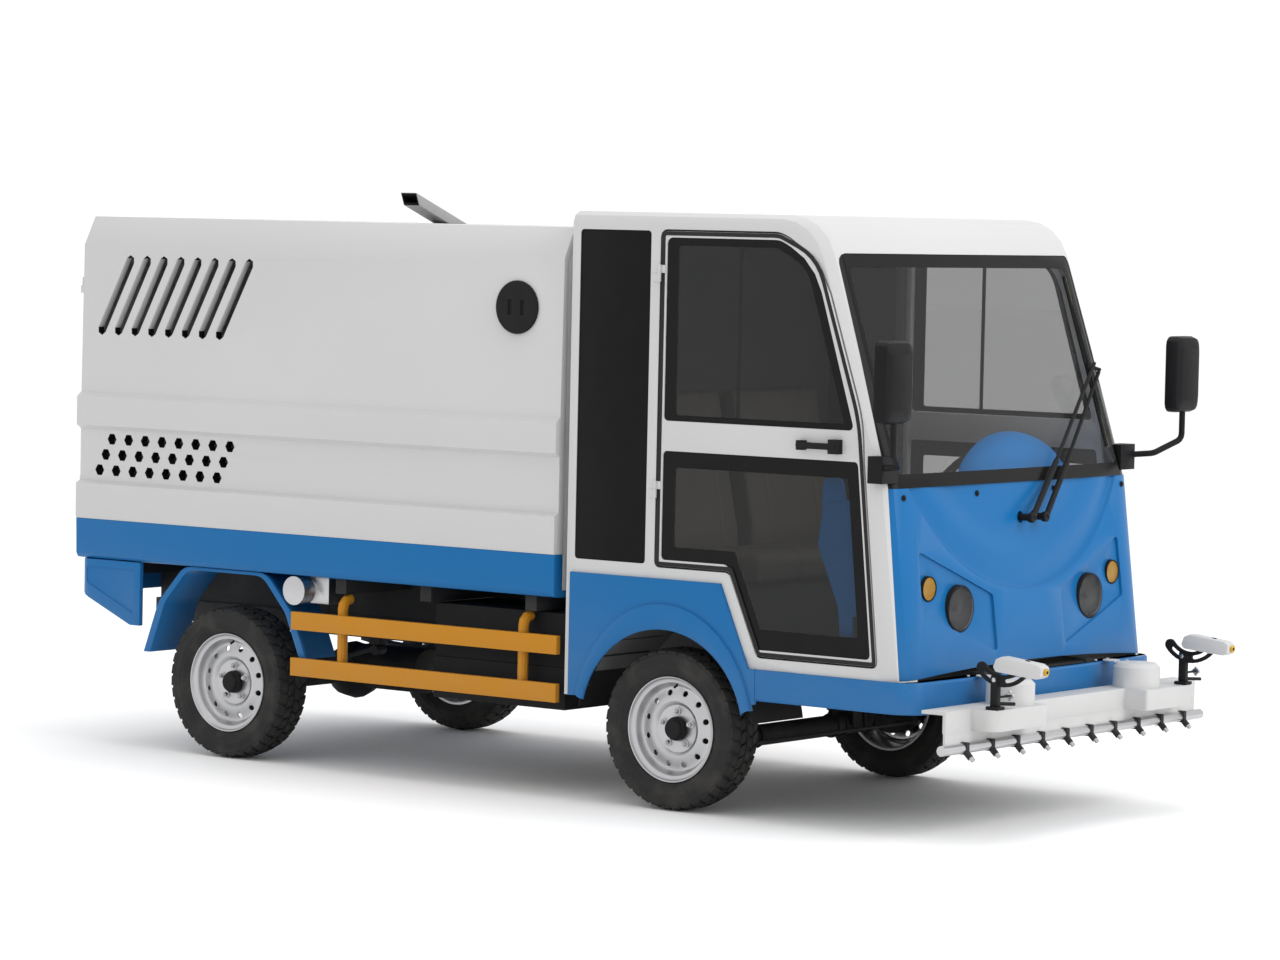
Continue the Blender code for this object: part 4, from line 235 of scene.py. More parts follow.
def leather(name, colour):
    """Grained seat cover."""
    finish = Finish(name, colour, 0.55)
    creases = finish.cells(420.0, "DISTANCE_TO_EDGE")
    finish.set("Base Color", finish.blend(finish.noise(12.0, 5.0), shade(colour, 0.88), shade(colour, 1.12)))
    finish.set("Roughness", 0.50 + finish.noise(90.0, 3.0) * 0.14)
    finish.bump(creases.fade(0.0, 0.12) * 0.7 + finish.noise(60.0, 4.0) * 0.3, 0.35, 0.0009)
    return finish.material


def tinted_glass(name, colour, alpha):
    """Tinted safety glass: dark film over what is behind, with a sharp reflection."""
    finish = Finish(name, colour, 0.04, ior=1.5, specular_ior_level=0.25)
    finish.set("Alpha", alpha + finish.noise(2.3, 2.0) * 0.02)
    finish.set("Roughness", 0.03 + finish.noise(18.0, 5.0).fade(0.5, 0.8) * 0.03)
    return finish.material


def lens(name, colour, alpha, ribs):
    """Moulded lamp lens with fine vertical ribs."""
    finish = Finish(name, colour, 0.10, ior=1.5, specular_ior_level=0.4)
    pattern = finish.node("ShaderNodeTexWave", {"bands_direction": "X"},
                          {"Vector": finish.place, "Scale": ribs, "Distortion": 0.0}, "Fac")
    finish.set("Alpha", alpha + pattern * 0.12)
    finish.bump(pattern, 0.5, 0.0012)
    return finish.material


def plain(name, colour, roughness, metallic=0.0):
    """Small fitting: one tone with a little unevenness."""
    finish = Finish(name, colour, roughness, metallic)
    finish.set("Base Color", finish.blend(finish.noise(22.0, 4.0), shade(colour, 0.9), shade(colour, 1.1)))
    finish.set("Roughness", roughness + finish.noise(80.0, 3.0) * 0.1 - 0.04)
    return finish.material


def studio_paper(name):
    """Pale matt paper of the floor."""
    finish = Finish(name, (0.96, 0.96, 0.96), 0.85, specular_ior_level=0.1)
    finish.set("Base Color",
               finish.blend(finish.noise(0.6, 3.0), (0.955, 0.955, 0.955), (0.975, 0.975, 0.975)))
    return finish.material


def make_finishes(look):
    """Makes every finish, with the paints in the panel's colours."""
    white, blue, orange = (tuple(getattr(look, key)) for key in ("white", "blue", "orange"))
    FINISHES.update(
        white=paint("white_paint", white, 0.36, 0.06),
        cream=paint("white_powder_coat", white, 0.5, 0.05),
        blue=paint("blue_paint", blue, 0.30, 0.08),
        # The inner blue is the blue paint at twice its brightness: painted light, so the dashboard, hood and
        # pillar strips read as lit behind the glass.
        inner_blue=paint("inner_blue_panel", shade(blue, 2.0), 0.45, 0.02),
        orange=paint("orange_paint", orange, 0.42, 0.03),
        black=plastic("black_plastic", (0.014, 0.014, 0.015), 0.5),
        satin=plastic("satin_black_panel", (0.0075, 0.0075, 0.008), 0.42, 1600.0, 0.05),
        mirror_shell=plastic("mirror_shell", (0.011, 0.011, 0.012), 0.45, 1200.0, 0.15),
        seal=rubber("door_seal", (0.018, 0.018, 0.018), 0.02),
        tyre=rubber("tyre_rubber", (0.020, 0.020, 0.020)),
        dark=chassis_black("chassis_black", (0.016, 0.016, 0.017)),
        duct=plain("duct_paint", (0.33, 0.33, 0.33), 0.5),
        rim=bare_metal("silver_wheel", (0.50, 0.50, 0.51), 0.36),
        steel=bare_metal("bright_steel", (0.50, 0.50, 0.51), 0.28, (1.0, 14.0, 1.0)),
        cast=bare_metal("cast_metal", (0.20, 0.20, 0.21), 0.5, scale=90.0),
        mirror=bare_metal("mirror_glass", (0.80, 0.82, 0.83), 0.02, scale=12.0),
        seat=leather("seat_cover", (0.155, 0.142, 0.118)),
        screen=tinted_glass("windscreen_glass", (0.075, 0.075, 0.077), 0.28),
        window=tinted_glass("door_glass", (0.022, 0.022, 0.022), 0.64),
        inner_face=tinted_glass("glass_inner_face", (0.022, 0.022, 0.022), 0.03),
        border=plastic("glass_border", (0.010, 0.010, 0.010), 0.20, 2000.0, 0.01),
        clear_lens=lens("headlamp_lens", (0.022, 0.023, 0.025), 0.50, 60.0),
        amber_lens=lens("amber_lens", (0.36, 0.185, 0.014), 0.80, 90.0),
        red_lens=lens("red_lens", (0.45, 0.012, 0.01), 0.85, 70.0),
        lime=plain("lime_strip", (0.42, 0.50, 0.02), 0.5),
        grey=plain("grey_lining", (0.09, 0.09, 0.09), 0.7),
        tank=plastic("tank_plastic", (0.09, 0.09, 0.095), 0.55, 300.0, 0.15),
        brass=plain("brass_fitting", (0.55, 0.33, 0.03), 0.35, 0.6),
    )


# Modelling helpers

def clear_selection():
    """Leaves edit mode and selects nothing."""
    if bpy.context.mode != "OBJECT":
        bpy.ops.object.mode_set(mode="OBJECT")
    bpy.ops.object.select_all(action="DESELECT")


def only(piece):
    """Makes one piece the selected and active one."""
    clear_selection()
    piece.select_set(True)
    bpy.context.view_layer.objects.active = piece


def settle(piece):
    """Puts a piece's place, turn and size into its mesh."""
    only(piece)
    bpy.ops.object.transform_apply(location=True, rotation=True, scale=True)
    return piece


def named(name):
    """Names the piece that an operator has just added."""
    piece = bpy.context.active_object
    piece.name = name
    piece.data.name = name
    return piece


AXIS_TURN = {"X": (0.0, math.pi / 2, 0.0), "Y": (math.pi / 2, 0.0, 0.0), "Z": (0.0, 0.0, 0.0)}


def block(name, low, high, edge=0.0, steps=2):
    """Box between two corners with rounded edges."""
    clear_selection()
    low, high = ([extreme(a, b) for a, b in zip(low, high)] for extreme in (min, max))
    centre = [(a + b) / 2 for a, b in zip(low, high)]
    size = [b - a for a, b in zip(low, high)]
    bpy.ops.mesh.primitive_cube_add(size=1.0, location=centre, scale=size)
    piece = settle(named(name))
    if edge:
        bevel(piece, edge, steps)
    return piece


def drum(name, centre, axis, radius, depth, around=40, edge=0.0, steps=2):
    """Round bar or disc about an axis."""
    clear_selection()
    bpy.ops.mesh.primitive_cylinder_add(
        vertices=around, radius=radius, depth=depth, location=centre, rotation=AXIS_TURN[axis])
    piece = settle(named(name))
    if edge:
        bevel(piece, edge, steps)
    return piece


def ring(name, centre, axis, major, minor, around=48, section=10):
    """Torus about an axis."""
    clear_selection()
    bpy.ops.mesh.primitive_torus_add(
        major_radius=major, minor_radius=minor, major_segments=around, minor_segments=section,
        location=centre, rotation=AXIS_TURN[axis])
    return settle(named(name))


def ball(name, centre, radius, size=(1.0, 1.0, 1.0), rings=12):
    """Sphere, stretched along the axes."""
    clear_selection()
    bpy.ops.mesh.primitive_uv_sphere_add(
        segments=2 * rings, ring_count=rings, radius=radius, location=centre, scale=size)
    return settle(named(name))


def modify(piece, kind, **settings):
    """Adds a modifier and applies it."""
    only(piece)
    modifier = piece.modifiers.new(kind.lower(), kind)
    for key, value in settings.items():
        setattr(modifier, key, value)
    bpy.ops.object.modifier_apply(modifier=modifier.name)
    return piece


def bevel(piece, width, steps=2, angle=30.0):
    """Rounds the edges that are sharper than an angle."""
    return modify(piece, "BEVEL", width=width, segments=steps, limit_method="ANGLE",
                  angle_limit=math.radians(angle), use_clamp_overlap=True)


def smooth(piece, angle=35.0):
    """Shades a piece smooth across edges below an angle."""
    only(piece)
    bpy.ops.object.shade_smooth_by_angle(angle=math.radians(angle))
    return piece


def trace(name, points, closed=False):
    """A line of edges through points, drawn by extruding one vertex."""
    clear_selection()
    bpy.ops.mesh.primitive_plane_add(size=0.001, location=points[0])
    piece = settle(named(name))
    only(piece)
    bpy.ops.object.mode_set(mode="EDIT")
    bpy.ops.mesh.select_mode(type="VERT")
    bpy.ops.mesh.select_all(action="SELECT")
    bpy.ops.mesh.merge(type="CENTER")
    for start, end in zip(points, points[1:]):
        step = Vector(end) - Vector(start)
        bpy.ops.mesh.extrude_region_move(TRANSFORM_OT_translate={"value": step})
    if closed:
        bpy.ops.mesh.select_all(action="SELECT")
        bpy.ops.mesh.edge_face_add()
    bpy.ops.mesh.select_all(action="SELECT")
    bpy.ops.object.mode_set(mode="OBJECT")
    return piece


def turned(name, outline, centre, axis="X", around=64):
    """Body of revolution from (along, radius) pairs about an axis through centre."""
    direction = {"X": Vector((1, 0, 0)), "Y": Vector((0, 1, 0)), "Z": Vector((0, 0, 1))}[axis]
    out = Vector((0, 0, 1)) if axis != "Z" else Vector((1, 0, 0))
    middle = Vector(centre)
    piece = trace(name, [middle + direction * along + out * radius for along, radius in outline])
    only(piece)
    bpy.ops.object.mode_set(mode="EDIT")
    bpy.ops.mesh.select_all(action="SELECT")
    bpy.ops.mesh.spin(steps=around, angle=math.tau, center=middle, axis=direction)
    close_up()
    return piece


def close_up():
    """Merges doubles and turns the faces outwards, then leaves edit mode."""
    bpy.ops.mesh.select_all(action="SELECT")
    bpy.ops.mesh.remove_doubles(threshold=1e-5)
    bpy.ops.mesh.normals_make_consistent(inside=False)
    bpy.ops.object.mode_set(mode="OBJECT")


def thicken(piece, step):
    """Gives a flat outline or a sheet thickness along a vector."""
    only(piece)
    bpy.ops.object.mode_set(mode="EDIT")
    bpy.ops.mesh.select_mode(type="FACE")
    bpy.ops.mesh.select_all(action="SELECT")
    bpy.ops.mesh.extrude_region_move(TRANSFORM_OT_translate={"value": step})
    close_up()
    return piece


def slab(name, points, thickness, edge=0.0, steps=2):
    """Flat outline given thickness along a vector."""
    piece = trace(name, points, closed=True)
    thicken(piece, thickness)
    if edge:
        bevel(piece, edge, steps)
    return piece


PLANES = {"X": lambda a, b, c: (c, a, b), "Y": lambda a, b, c: (a, c, b), "Z": lambda a, b, c: (a, b, c)}


def plate(name, outline, axis, start, end, edge=0.0, steps=2):
    """Outline in the plane across an axis, given thickness along it."""
    place = PLANES[axis]
    return slab(name, [place(a, b, start) for a, b in outline], place(0.0, 0.0, end - start), edge, steps)


def framed(name, outer, inner, axis, start, end, edge=0.0):
    """Flat ring between two outlines."""
    piece = plate(name, outer, axis, start, end)
    cut_away(piece, plate("hole", inner, axis, 1.5 * start - 0.5 * end, 1.5 * end - 0.5 * start))
    return bevel(piece, edge) if edge else piece


def inset_outline(corners, distances, radius):
    """Moves the sides of a counter-clockwise outline of (a, b, radius) corners inwards."""
    count = len(corners)
    sides = []
    for k, distance in enumerate(distances):
        start, end = Vector(corners[k][:2]), Vector(corners[(k + 1) % count][:2])
        along = (end - start).normalized()
        sides.append((start + Vector((-along.y, along.x)) * distance, along))
    moved = []
    for k in range(count):
        (p, u), (q, v) = sides[k - 1], sides[k]
        point = p + u * (((q.x - p.x) * v.y - (q.y - p.y) * v.x) / (u.x * v.y - u.y * v.x))
        moved.append((point.x, point.y, max(corners[k][2] - distances[k], radius)))
    return moved


def rounded(corners, steps=5):
    """Points of an outline whose corners carry a radius each."""
    points = []
    for k, (a, b, radius) in enumerate(corners):
        corner = Vector((a, b))
        back = Vector(corners[k - 1][:2]) - corner
        ahead = Vector(corners[(k + 1) % len(corners)][:2]) - corner
        reach = radius * math.tan((math.pi - back.angle(ahead)) / 2)
        reach = min(reach, back.length / 2.05, ahead.length / 2.05)
        start, end = corner + back.normalized() * reach, corner + ahead.normalized() * reach
        for step in range(steps + 1):
            share = step / steps
            points.append(tuple(start.lerp(corner, share).lerp(corner.lerp(end, share), share)))
    return points


def polar(centre, radius, degrees):
    """Point of a circle in the plane of an outline."""
    turn = math.radians(degrees)
    return centre[0] + radius * math.cos(turn), centre[1] + radius * math.sin(turn)


def rectangle(a, b, half_a, half_b, radius):
    """Rounded rectangle about a middle point."""
    return rounded([(a - half_a, b - half_b, radius), (a + half_a, b - half_b, radius),
                    (a + half_a, b + half_b, radius), (a - half_a, b + half_b, radius)])


SURFACES = {}


def surface_of(piece):
    """Faces of a piece in the form that a ray can be cast at."""
    points = [piece.matrix_world @ vertex.co for vertex in piece.data.vertices]
    return BVHTree.FromPolygons(points, [tuple(face.vertices) for face in piece.data.polygons])


def face_y(node, x, z, start=-4.0):
    """Where a level line from the front, or from the rear, first meets a CAD node."""
    if node not in SURFACES:
        SURFACES[node] = surface_of(frame["nodes"][node])
    place = SURFACES[node].ray_cast(Vector((x, start, z)), Vector((0.0, -math.copysign(1.0, start), 0.0)))[0]
    if place is None:
        raise ValueError(f"{node} {x} {z}")
    return place.y


def split(piece, cutter, name):
    """Divides a piece into what lies outside a cutter and what lies inside it."""
    inside = cut_away(twin(piece, name), twin(cutter, "core"), "INTERSECT")
    return smooth(cut_away(piece, cutter)), smooth(inside)


def rounded_path(points, radius, steps=5):
    """Rounds the inner corners of a path of points."""
    path = [Vector(points[0])]
    for before, corner, after in zip(points, points[1:], points[2:]):
        corner = Vector(corner)
        back, ahead = Vector(before) - corner, Vector(after) - corner
        reach = min(radius, back.length / 2.05, ahead.length / 2.05)
        start, end = corner + back.normalized() * reach, corner + ahead.normalized() * reach
        for k in range(steps + 1):
            share = k / steps
            path.append(start.lerp(corner, share).lerp(corner.lerp(end, share), share))
    path.append(Vector(points[-1]))
    return path


def pipe(name, points, radius, bend=0.0, section=3):
    """Round bar along a path with capped ends."""
    curve = bpy.data.curves.new(name, "CURVE")
    curve.dimensions = "3D"
    curve.bevel_depth = radius
    curve.bevel_resolution = section
    curve.use_fill_caps = True
    path = rounded_path(points, bend) if bend else [Vector(point) for point in points]
    spline = curve.splines.new("POLY")
    spline.points.add(len(path) - 1)
    for point, place in zip(spline.points, path):
        point.co = (*place, 1.0)
    piece = bpy.data.objects.new(name, curve)
    bpy.context.scene.collection.objects.link(piece)
    only(piece)
    bpy.ops.object.convert(target="MESH")
    return smooth(bpy.context.active_object, 50.0)


def fuse(name, *pieces):
    """Joins pieces into one object."""
    clear_selection()
    for piece in pieces:
        piece.select_set(True)
    bpy.context.view_layer.objects.active = pieces[0]
    bpy.ops.object.join()
    return named(name)


def around(piece, count, centre, axis, sweep=math.tau):
    """Repeats a piece's mesh about an axis."""
    only(piece)
    bpy.ops.object.mode_set(mode="EDIT")
    bpy.ops.mesh.select_all(action="SELECT")
    bpy.ops.mesh.spin(steps=count - 1, angle=sweep * (count - 1) / count, center=centre, axis=axis,
                      dupli=True)
    bpy.ops.object.mode_set(mode="OBJECT")
    return piece


def cut_away(piece, cutter, operation="DIFFERENCE"):
    """Cuts a piece with another, which is used up."""
    modify(piece, "BOOLEAN", object=cutter, operation=operation, solver="EXACT")
    bpy.data.objects.remove(cutter)
    return piece


def twin(piece, name, shift=(0.0, 0.0, 0.0), mirror=False):
    """A copy with its own mesh, moved, or mirrored to the other side of the truck."""
    mesh = piece.data.copy()
    mesh.name = name
    if mirror:
        mesh.transform(Matrix.Diagonal((-1.0, 1.0, 1.0, 1.0)))
        mesh.flip_normals()
    mesh.transform(Matrix.Translation(shift))
    copy = bpy.data.objects.new(name, mesh)
    bpy.context.scene.collection.objects.link(copy)
    return copy


def coat(piece, finish, slot="white", body="chassis", replaces=()):
    """Gives a piece its finish and the body that it rides on; the slot argument is not used."""
    piece.data.materials.clear()
    piece.data.materials.append(FINISHES[finish])
    if replaces:
        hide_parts(*replaces)
    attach(piece, body)
    return piece


def second_finish(piece, finish, test):
    """Gives the faces that pass a test another finish."""
    piece.data.materials.append(FINISHES[finish])
    index = len(piece.data.materials) - 1
    for face in piece.data.polygons:
        if test(face):
            face.material_index = index
    return piece


def body_of(node):
    """The body that a CAD node moves with."""
    for body, nodes in frame["record"]["behaviour"]["bodies"].items():
        if node in nodes:
            return body
    raise ValueError(node)


def panel_copy(node, width=0.0, steps=2, dissolve=0.4, angle=28.0):
    """A merged copy of a CAD node with its edges rounded over."""
    source = frame["nodes"][node]
    piece = bpy.data.objects.new(f"{node}_panel", source.data.copy())
    piece.data.name = piece.name
    piece.data.materials.clear()
    bpy.context.scene.collection.objects.link(piece)
    only(piece)
    bpy.ops.object.mode_set(mode="EDIT")
    bpy.ops.mesh.select_all(action="SELECT")
    bpy.ops.mesh.remove_doubles(threshold=2e-5)
    bpy.ops.mesh.dissolve_limited(angle_limit=math.radians(dissolve))
    bpy.ops.object.mode_set(mode="OBJECT")
    if piece.data.has_custom_normals:
        bpy.ops.mesh.customdata_custom_splitnormals_clear()
    if width:
        bevel(piece, width, steps, angle)
    return smooth(piece)


# Settings, stage and camera

class LookSettings(bpy.types.PropertyGroup):
    """Colours and sizes that a user would change."""

    white: FloatVectorProperty(
        name="White", description="Cab and load body paint", subtype="COLOR", default=(0.525, 0.525, 0.525))
    blue: FloatVectorProperty(
        name="Blue", description="Nose, bumper and skirt paint", subtype="COLOR",
        default=(0.007, 0.124, 0.335))
    orange: FloatVectorProperty(
        name="Orange", description="Side guard paint", subtype="COLOR", default=(0.48, 0.200, 0.008))
    tread_depth: FloatProperty(
        name="Tread depth", description="Height of the tyre's tread blocks", subtype="DISTANCE",
        default=0.0060)
    tread_count: IntProperty(
        name="Tread blocks", description="Blocks in one row round a tyre", default=38)
    edge: FloatProperty(
        name="Panel edge", description="Rounding of the panels' edges", subtype="DISTANCE", default=0.0022)


class TruckPiece:
    """Options that the operators of the truck's pieces share."""

    bl_options = {"REGISTER", "UNDO"}


CAMERA_PLACE = (-13.114, FRONT_AXLE_Y - 9.230, 2.031)
CAMERA_AIM = (0.79630, 0.60221, -0.05697)
CAMERA_ROLL_DEG = 1.21
CAMERA_LENS = 127.4
CAMERA_SHIFT = (-4.0, -4.5)
IMAGE_WIDTH = 1280
FLOOR_SIZE = 160.0
SKY_STRENGTH = 1.06
LIGHT_TARGET = (0.0, 0.0, 0.8)
LIGHTS = (("key_light", (0.8, -10.0, 6.5), 6.0, 400.0), ("top_light", (0.5, 0.5, 9.5), 7.0, 250.0))


class TRUCK_OT_stage(TruckPiece, bpy.types.Operator):
    """Pale floor, soft light and the camera"""

    bl_idname = "truck.stage"
    bl_label = "Stage and camera"

    def execute(self, context):
        scene = bpy.context.scene
        scene.view_settings.view_transform = "Standard"
        world = bpy.data.worlds.new("soft_studio")
        world.use_nodes = True
        world.node_tree.nodes["Background"].inputs["Color"].default_value = (1.0, 1.0, 1.0, 1.0)
        world.node_tree.nodes["Background"].inputs["Strength"].default_value = SKY_STRENGTH
        scene.world = world
        clear_selection()
        bpy.ops.mesh.primitive_plane_add(size=FLOOR_SIZE, location=(0.0, 0.0, 0.0))
        floor = named("studio_floor")
        floor.data.materials.append(studio_paper("studio_floor"))
        for name, place, size, power in LIGHTS:
            bpy.ops.object.light_add(type="AREA", location=place)
            light = bpy.context.active_object
            light.name = name
            light.data.size = size
            light.data.energy = power
            light.rotation_euler = (Vector(LIGHT_TARGET) - Vector(place)).to_track_quat("-Z", "Y").to_euler()
        forward = Vector(CAMERA_AIM).normalized()
        across = forward.cross(Vector((0, 0, 1))).normalized()
        up = across.cross(forward)
        roll = math.radians(CAMERA_ROLL_DEG)
        right = across * math.cos(roll) + up * math.sin(roll)
        raised = up * math.cos(roll) - across * math.sin(roll)
        turn = Matrix((right, raised, -forward)).transposed()
        bpy.ops.object.camera_add(location=CAMERA_PLACE, rotation=turn.to_euler())
        camera = bpy.context.active_object
        camera.name = "photo_camera"
        camera.data.lens = CAMERA_LENS
        camera.data.sensor_width = 36.0
        camera.data.shift_x, camera.data.shift_y = (pixels / IMAGE_WIDTH for pixels in CAMERA_SHIFT)
        camera.data.clip_end = 300.0
        scene.camera = camera
        return {"FINISHED"}


# Painted panels

PAINTED = {
    "white": ("cab_shell", "door_left", "door_right", "box_side_left", "box_side_right", "box_roof",
              "rear_door_left", "rear_door_right"),
    "blue": ("bumper", "side_panel_left", "side_panel_right", "front_panel", "rear_mudguard_left",
             "rear_mudguard_right", "rear_apron", "box_floor"),
    "orange": ("side_guard_left", "side_guard_right"),
    "satin": ("quarter_panel_left", "quarter_panel_right"),
    "cream": ("spray_bar",),
    "mirror_shell": ("mirror_left", "mirror_right"),
    "black": ("door_handle_left", "door_handle_right", "port_cap", "battery_pack", "steering_wheel"),
    # The dashboard takes the blue at double brightness: painted light for the dim cab inside.
    "inner_blue": ("dashboard",),
    "dark": ("chassis_frame", "front_axle", "rear_axle", "tie_rod", "knuckle_left", "knuckle_right"),
    "grey": ("cab_floor",),
    "tank": ("water_tank",),
    "steel": ("side_valve",),
}
SLOT_OF = {"satin": "black", "cream": "white", "mirror_shell": "black", "inner_blue": "blue", "grey": "dark"}
EDGES = {"mirror_left": 0.010, "mirror_right": 0.010, "side_panel_left": 0.009, "side_panel_right": 0.009}
CAB_MIDDLE = Vector((0.0, FRONT_AXLE_Y - 0.15, 1.25))


def inward(face, middle):
    """True for a face that looks towards a middle point."""
    away = face.center - middle
    return face.normal.dot(away) < -0.25 * away.length


SMILE_KEYS = (
    (0.783, 0.658, -0.0015), (0.806, 0.635, 0.0150), (0.899, 0.540, 0.0068), (0.985, 0.388, 0.0170),
    (1.135, 0.100, 0.0095))
SMILE_EDGE = 1.143
SMILE_TOP = 1.172
SMILE_STEPS = 8
NOSE_LEVELS = (0.572, 0.760)
ARCH_RADIUS = 0.347
FLARE_HALF = 0.380
FLARE_TOP = 0.431
FLARE_BULGE = 0.013
FLARE_WALL = 0.006
FLARE_START_DEG = 13.5
FLARE_SWEEP_DEG = 153.0
ARC_STEPS = 56
LINER_INNER_X = 0.47
LINER_WALL = 0.004
DUCT_SLOPE_DEG = 20.5
DUCT_HALF = 0.040
DUCT_WALL = 0.008
DUCT_FOOT_X = 0.020
DUCT_FOOT_DROP = 0.0490
DUCT_SETBACK = 0.085
PRESS_EDGE = 0.055
PRESS_INSET = 0.028
PRESS_FOOT = 0.040
PRESS_SLOPE_FOOT = 0.088
PRESS_CORNER = 0.014


def nose_surface():
    """The nose's plain front face as a function of x and z, read below the lamp pockets and arcs."""
    low, high = NOSE_LEVELS
    foot = face_y("front_panel", 0.001, low)
    lean = (face_y("front_panel", 0.001, high) - foot) / (high - low)
    return lambda x, z: face_y("front_panel", x, low) + lean * (z - low)


def smile_cutter():
    """Space in front of the three soft arcs that are pressed into the nose."""
    surface = nose_surface()
    segments = len(SMILE_KEYS)
    clear_selection()
    bpy.ops.mesh.primitive_grid_add(x_subdivisions=ARC_STEPS, y_subdivisions=segments * SMILE_STEPS,
                                    size=1.0)
    piece = named("smile_cutter")
    for vertex in piece.data.vertices:
        turn, row = 2.0 * vertex.co.x, (vertex.co.y + 0.5) * segments
        segment = min(int(row + 1e-6), segments - 1)
        share = row - segment
        start, end = SMILE_KEYS[segment], SMILE_KEYS[min(segment + 1, segments - 1)]
        low, half = (start[k] + (end[k] - start[k]) * share for k in (0, 1))
        depth = start[2] + (end[2] - start[2]) * share * share * (3.0 - 2.0 * share)
        rise = SMILE_EDGE - low
        radius = (half * half + rise * rise) / (2.0 * rise)
        turn *= math.acos(1.0 - (SMILE_TOP - low) / radius)
        x, z = radius * math.sin(turn), low + radius * (1.0 - math.cos(turn))
        if segment == segments - 1:
            z += (SMILE_TOP - z) * share
        vertex.co = (x, surface(x, z) + depth, z)
    return thicken(piece, (0.0, -0.3, 0.0))


class TRUCK_OT_bodywork(TruckPiece, bpy.types.Operator):
    """Painted panels with rounded edges"""

    bl_idname = "truck.bodywork"
    bl_label = "Bodywork"

    def execute(self, context):
        settings = context.scene.cleaning_truck_look
        pipe_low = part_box("spray_bar")[0][2] + 0.043
        apron_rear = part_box("rear_door_left")[0][1] + 0.0125
        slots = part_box("box_side_left")

        # The walls inside the box sides' slots get the satin black finish: painted shade in the slots.
        def shaded_slot_wall(face):
            return (abs(face.normal.x) < 0.35 and face.area < 0.008
                    and slots[0][2] + 0.1 < face.center.z < slots[1][2] - 0.06
                    and slots[0][1] + 1.0 < face.center.y < slots[1][1] - 0.05)

        second = {
            "box_side_left": ("satin", shaded_slot_wall),
            "box_side_right": ("satin", shaded_slot_wall),
            "cab_shell": ("grey", lambda face: inward(face, CAB_MIDDLE)),
            "spray_bar": ("steel", lambda face: face.center.z < pipe_low + 0.0155 and (
                face.center.z < pipe_low - 0.003 or face.normal.y < -0.05 or face.center.y < -1.868)),
            "rear_apron": ("red_lens", lambda face: face.center.y > apron_rear),
        }
        for finish, nodes in PAINTED.items():
            for node in nodes:
                piece = panel_copy(node, EDGES.get(node, settings.edge))
                if node == "rear_apron":
                    self.press_sides(piece)
                if node == "front_panel":
                    cut_away(piece, smile_cutter())
                    smooth(piece)
                    SURFACES[node] = surface_of(piece)
                coat(piece, finish, SLOT_OF.get(finish, finish), body_of(node), (node,))
                if node in second:
                    second_finish(piece, *second[node])
        self.arch_liners()
        self.arch_flares()
        self.duct()
        return {"FINISHED"}

    def duct(self):
        """Square filler duct that rises towards the right-hand side, with an open mouth whose inside walls
        are painted black as shade.
        """
        low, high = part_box("filler_chute")
        top = Vector((low[0], high[2] - 0.0005))
        foot = Vector((low[0] + DUCT_FOOT_X, high[2] - DUCT_FOOT_DROP))
        along = Vector((math.cos(math.radians(DUCT_SLOPE_DEG)), -math.sin(math.radians(DUCT_SLOPE_DEG))))
        across = Vector((-along.y, along.x))
        drop_top, drop_foot = (top.y - low[2]) / -along.y, (foot.y - low[2]) / -along.y
        outline = [top, foot, foot + along * drop_foot, top + along * drop_top]
        middle = high[1] - DUCT_SETBACK
        piece = plate("roof_duct", [tuple(point) for point in outline], "Y",
                      middle - DUCT_HALF, middle + DUCT_HALF, 0.003)
        upper, lower = top - across * DUCT_WALL, foot + across * DUCT_WALL
        mouth = [upper - along * 0.05, upper + along * 0.07, lower + along * 0.07, lower - along * 0.05]
        inner = DUCT_HALF - DUCT_WALL
        mouth = [tuple(point) for point in mouth]
        cut_away(piece, plate("cutter", mouth, "Y", middle - inner, middle + inner))
        coat(smooth(piece), "duct", "steel", "chassis", ("filler_chute",))
        centre = (upper + lower) / 2 + along * 0.03

        def shaded_mouth_face(face):
            offset = Vector((face.center.x, face.center.z)) - centre
            return (abs(face.center.y - middle) < inner + 0.0015 and abs(offset.dot(across)) < 0.0185
                    and abs(offset.dot(along)) < 0.045)

        # The mouth's inside walls take the satin black finish: painted shade inside the opening.
        second_finish(piece, "satin", shaded_mouth_face)

    def arch_flares(self):
        """Rounded beads over the flared edges of the front wheel arches."""
        for side, sign in SIDES.items():
            face = max(abs(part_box(f"side_panel_{side}")[k][0]) for k in (0, 1))
            clear_selection()
            bpy.ops.mesh.primitive_grid_add(x_subdivisions=ARC_STEPS, y_subdivisions=14, size=1.0)
            piece = named(f"arch_flare_{side}")
            for vertex in piece.data.vertices:
                turn = math.radians(FLARE_START_DEG + FLARE_SWEEP_DEG * (vertex.co.x + 0.5))
                share = vertex.co.y + 0.5
                across = ARCH_RADIUS + (FLARE_HALF - ARCH_RADIUS) * share
                rise = ARCH_RADIUS + (FLARE_TOP - ARCH_RADIUS) * share
                bulge = FLARE_BULGE * math.sin(math.pi * share) ** 0.8 - 0.001
                vertex.co = (sign * (face + bulge), FRONT_AXLE_Y + across * math.cos(turn),
                             AXLE_Z + rise * math.sin(turn))
            coat(smooth(thicken(piece, (-sign * FLARE_WALL, 0.0, 0.0))), "blue", "blue")

    def arch_liners(self):
        """Black half tubes inside the front wheel arches."""
        for side, sign in SIDES.items():
            node = frame["nodes"][f"side_panel_{side}"]
            corners = [node.matrix_world @ vertex.co for vertex in node.data.vertices]
            reach = min(math.hypot(corner.y - FRONT_AXLE_Y, corner.z - AXLE_Z) for corner in corners
                        if corner.z > AXLE_Z + 0.06) + 0.004
            outer = max(abs(corner.x) for corner in corners) - 0.022
            points = [polar((FRONT_AXLE_Y, AXLE_Z), radius, turn) for radius, turns in (
                (reach, range(8, 173, 4)), (reach + LINER_WALL, range(172, 7, -4))) for turn in turns]
            liner = plate(f"arch_liner_{side}", points, "X", sign * LINER_INNER_X, sign * outer)
            coat(smooth(liner), "black", "black")

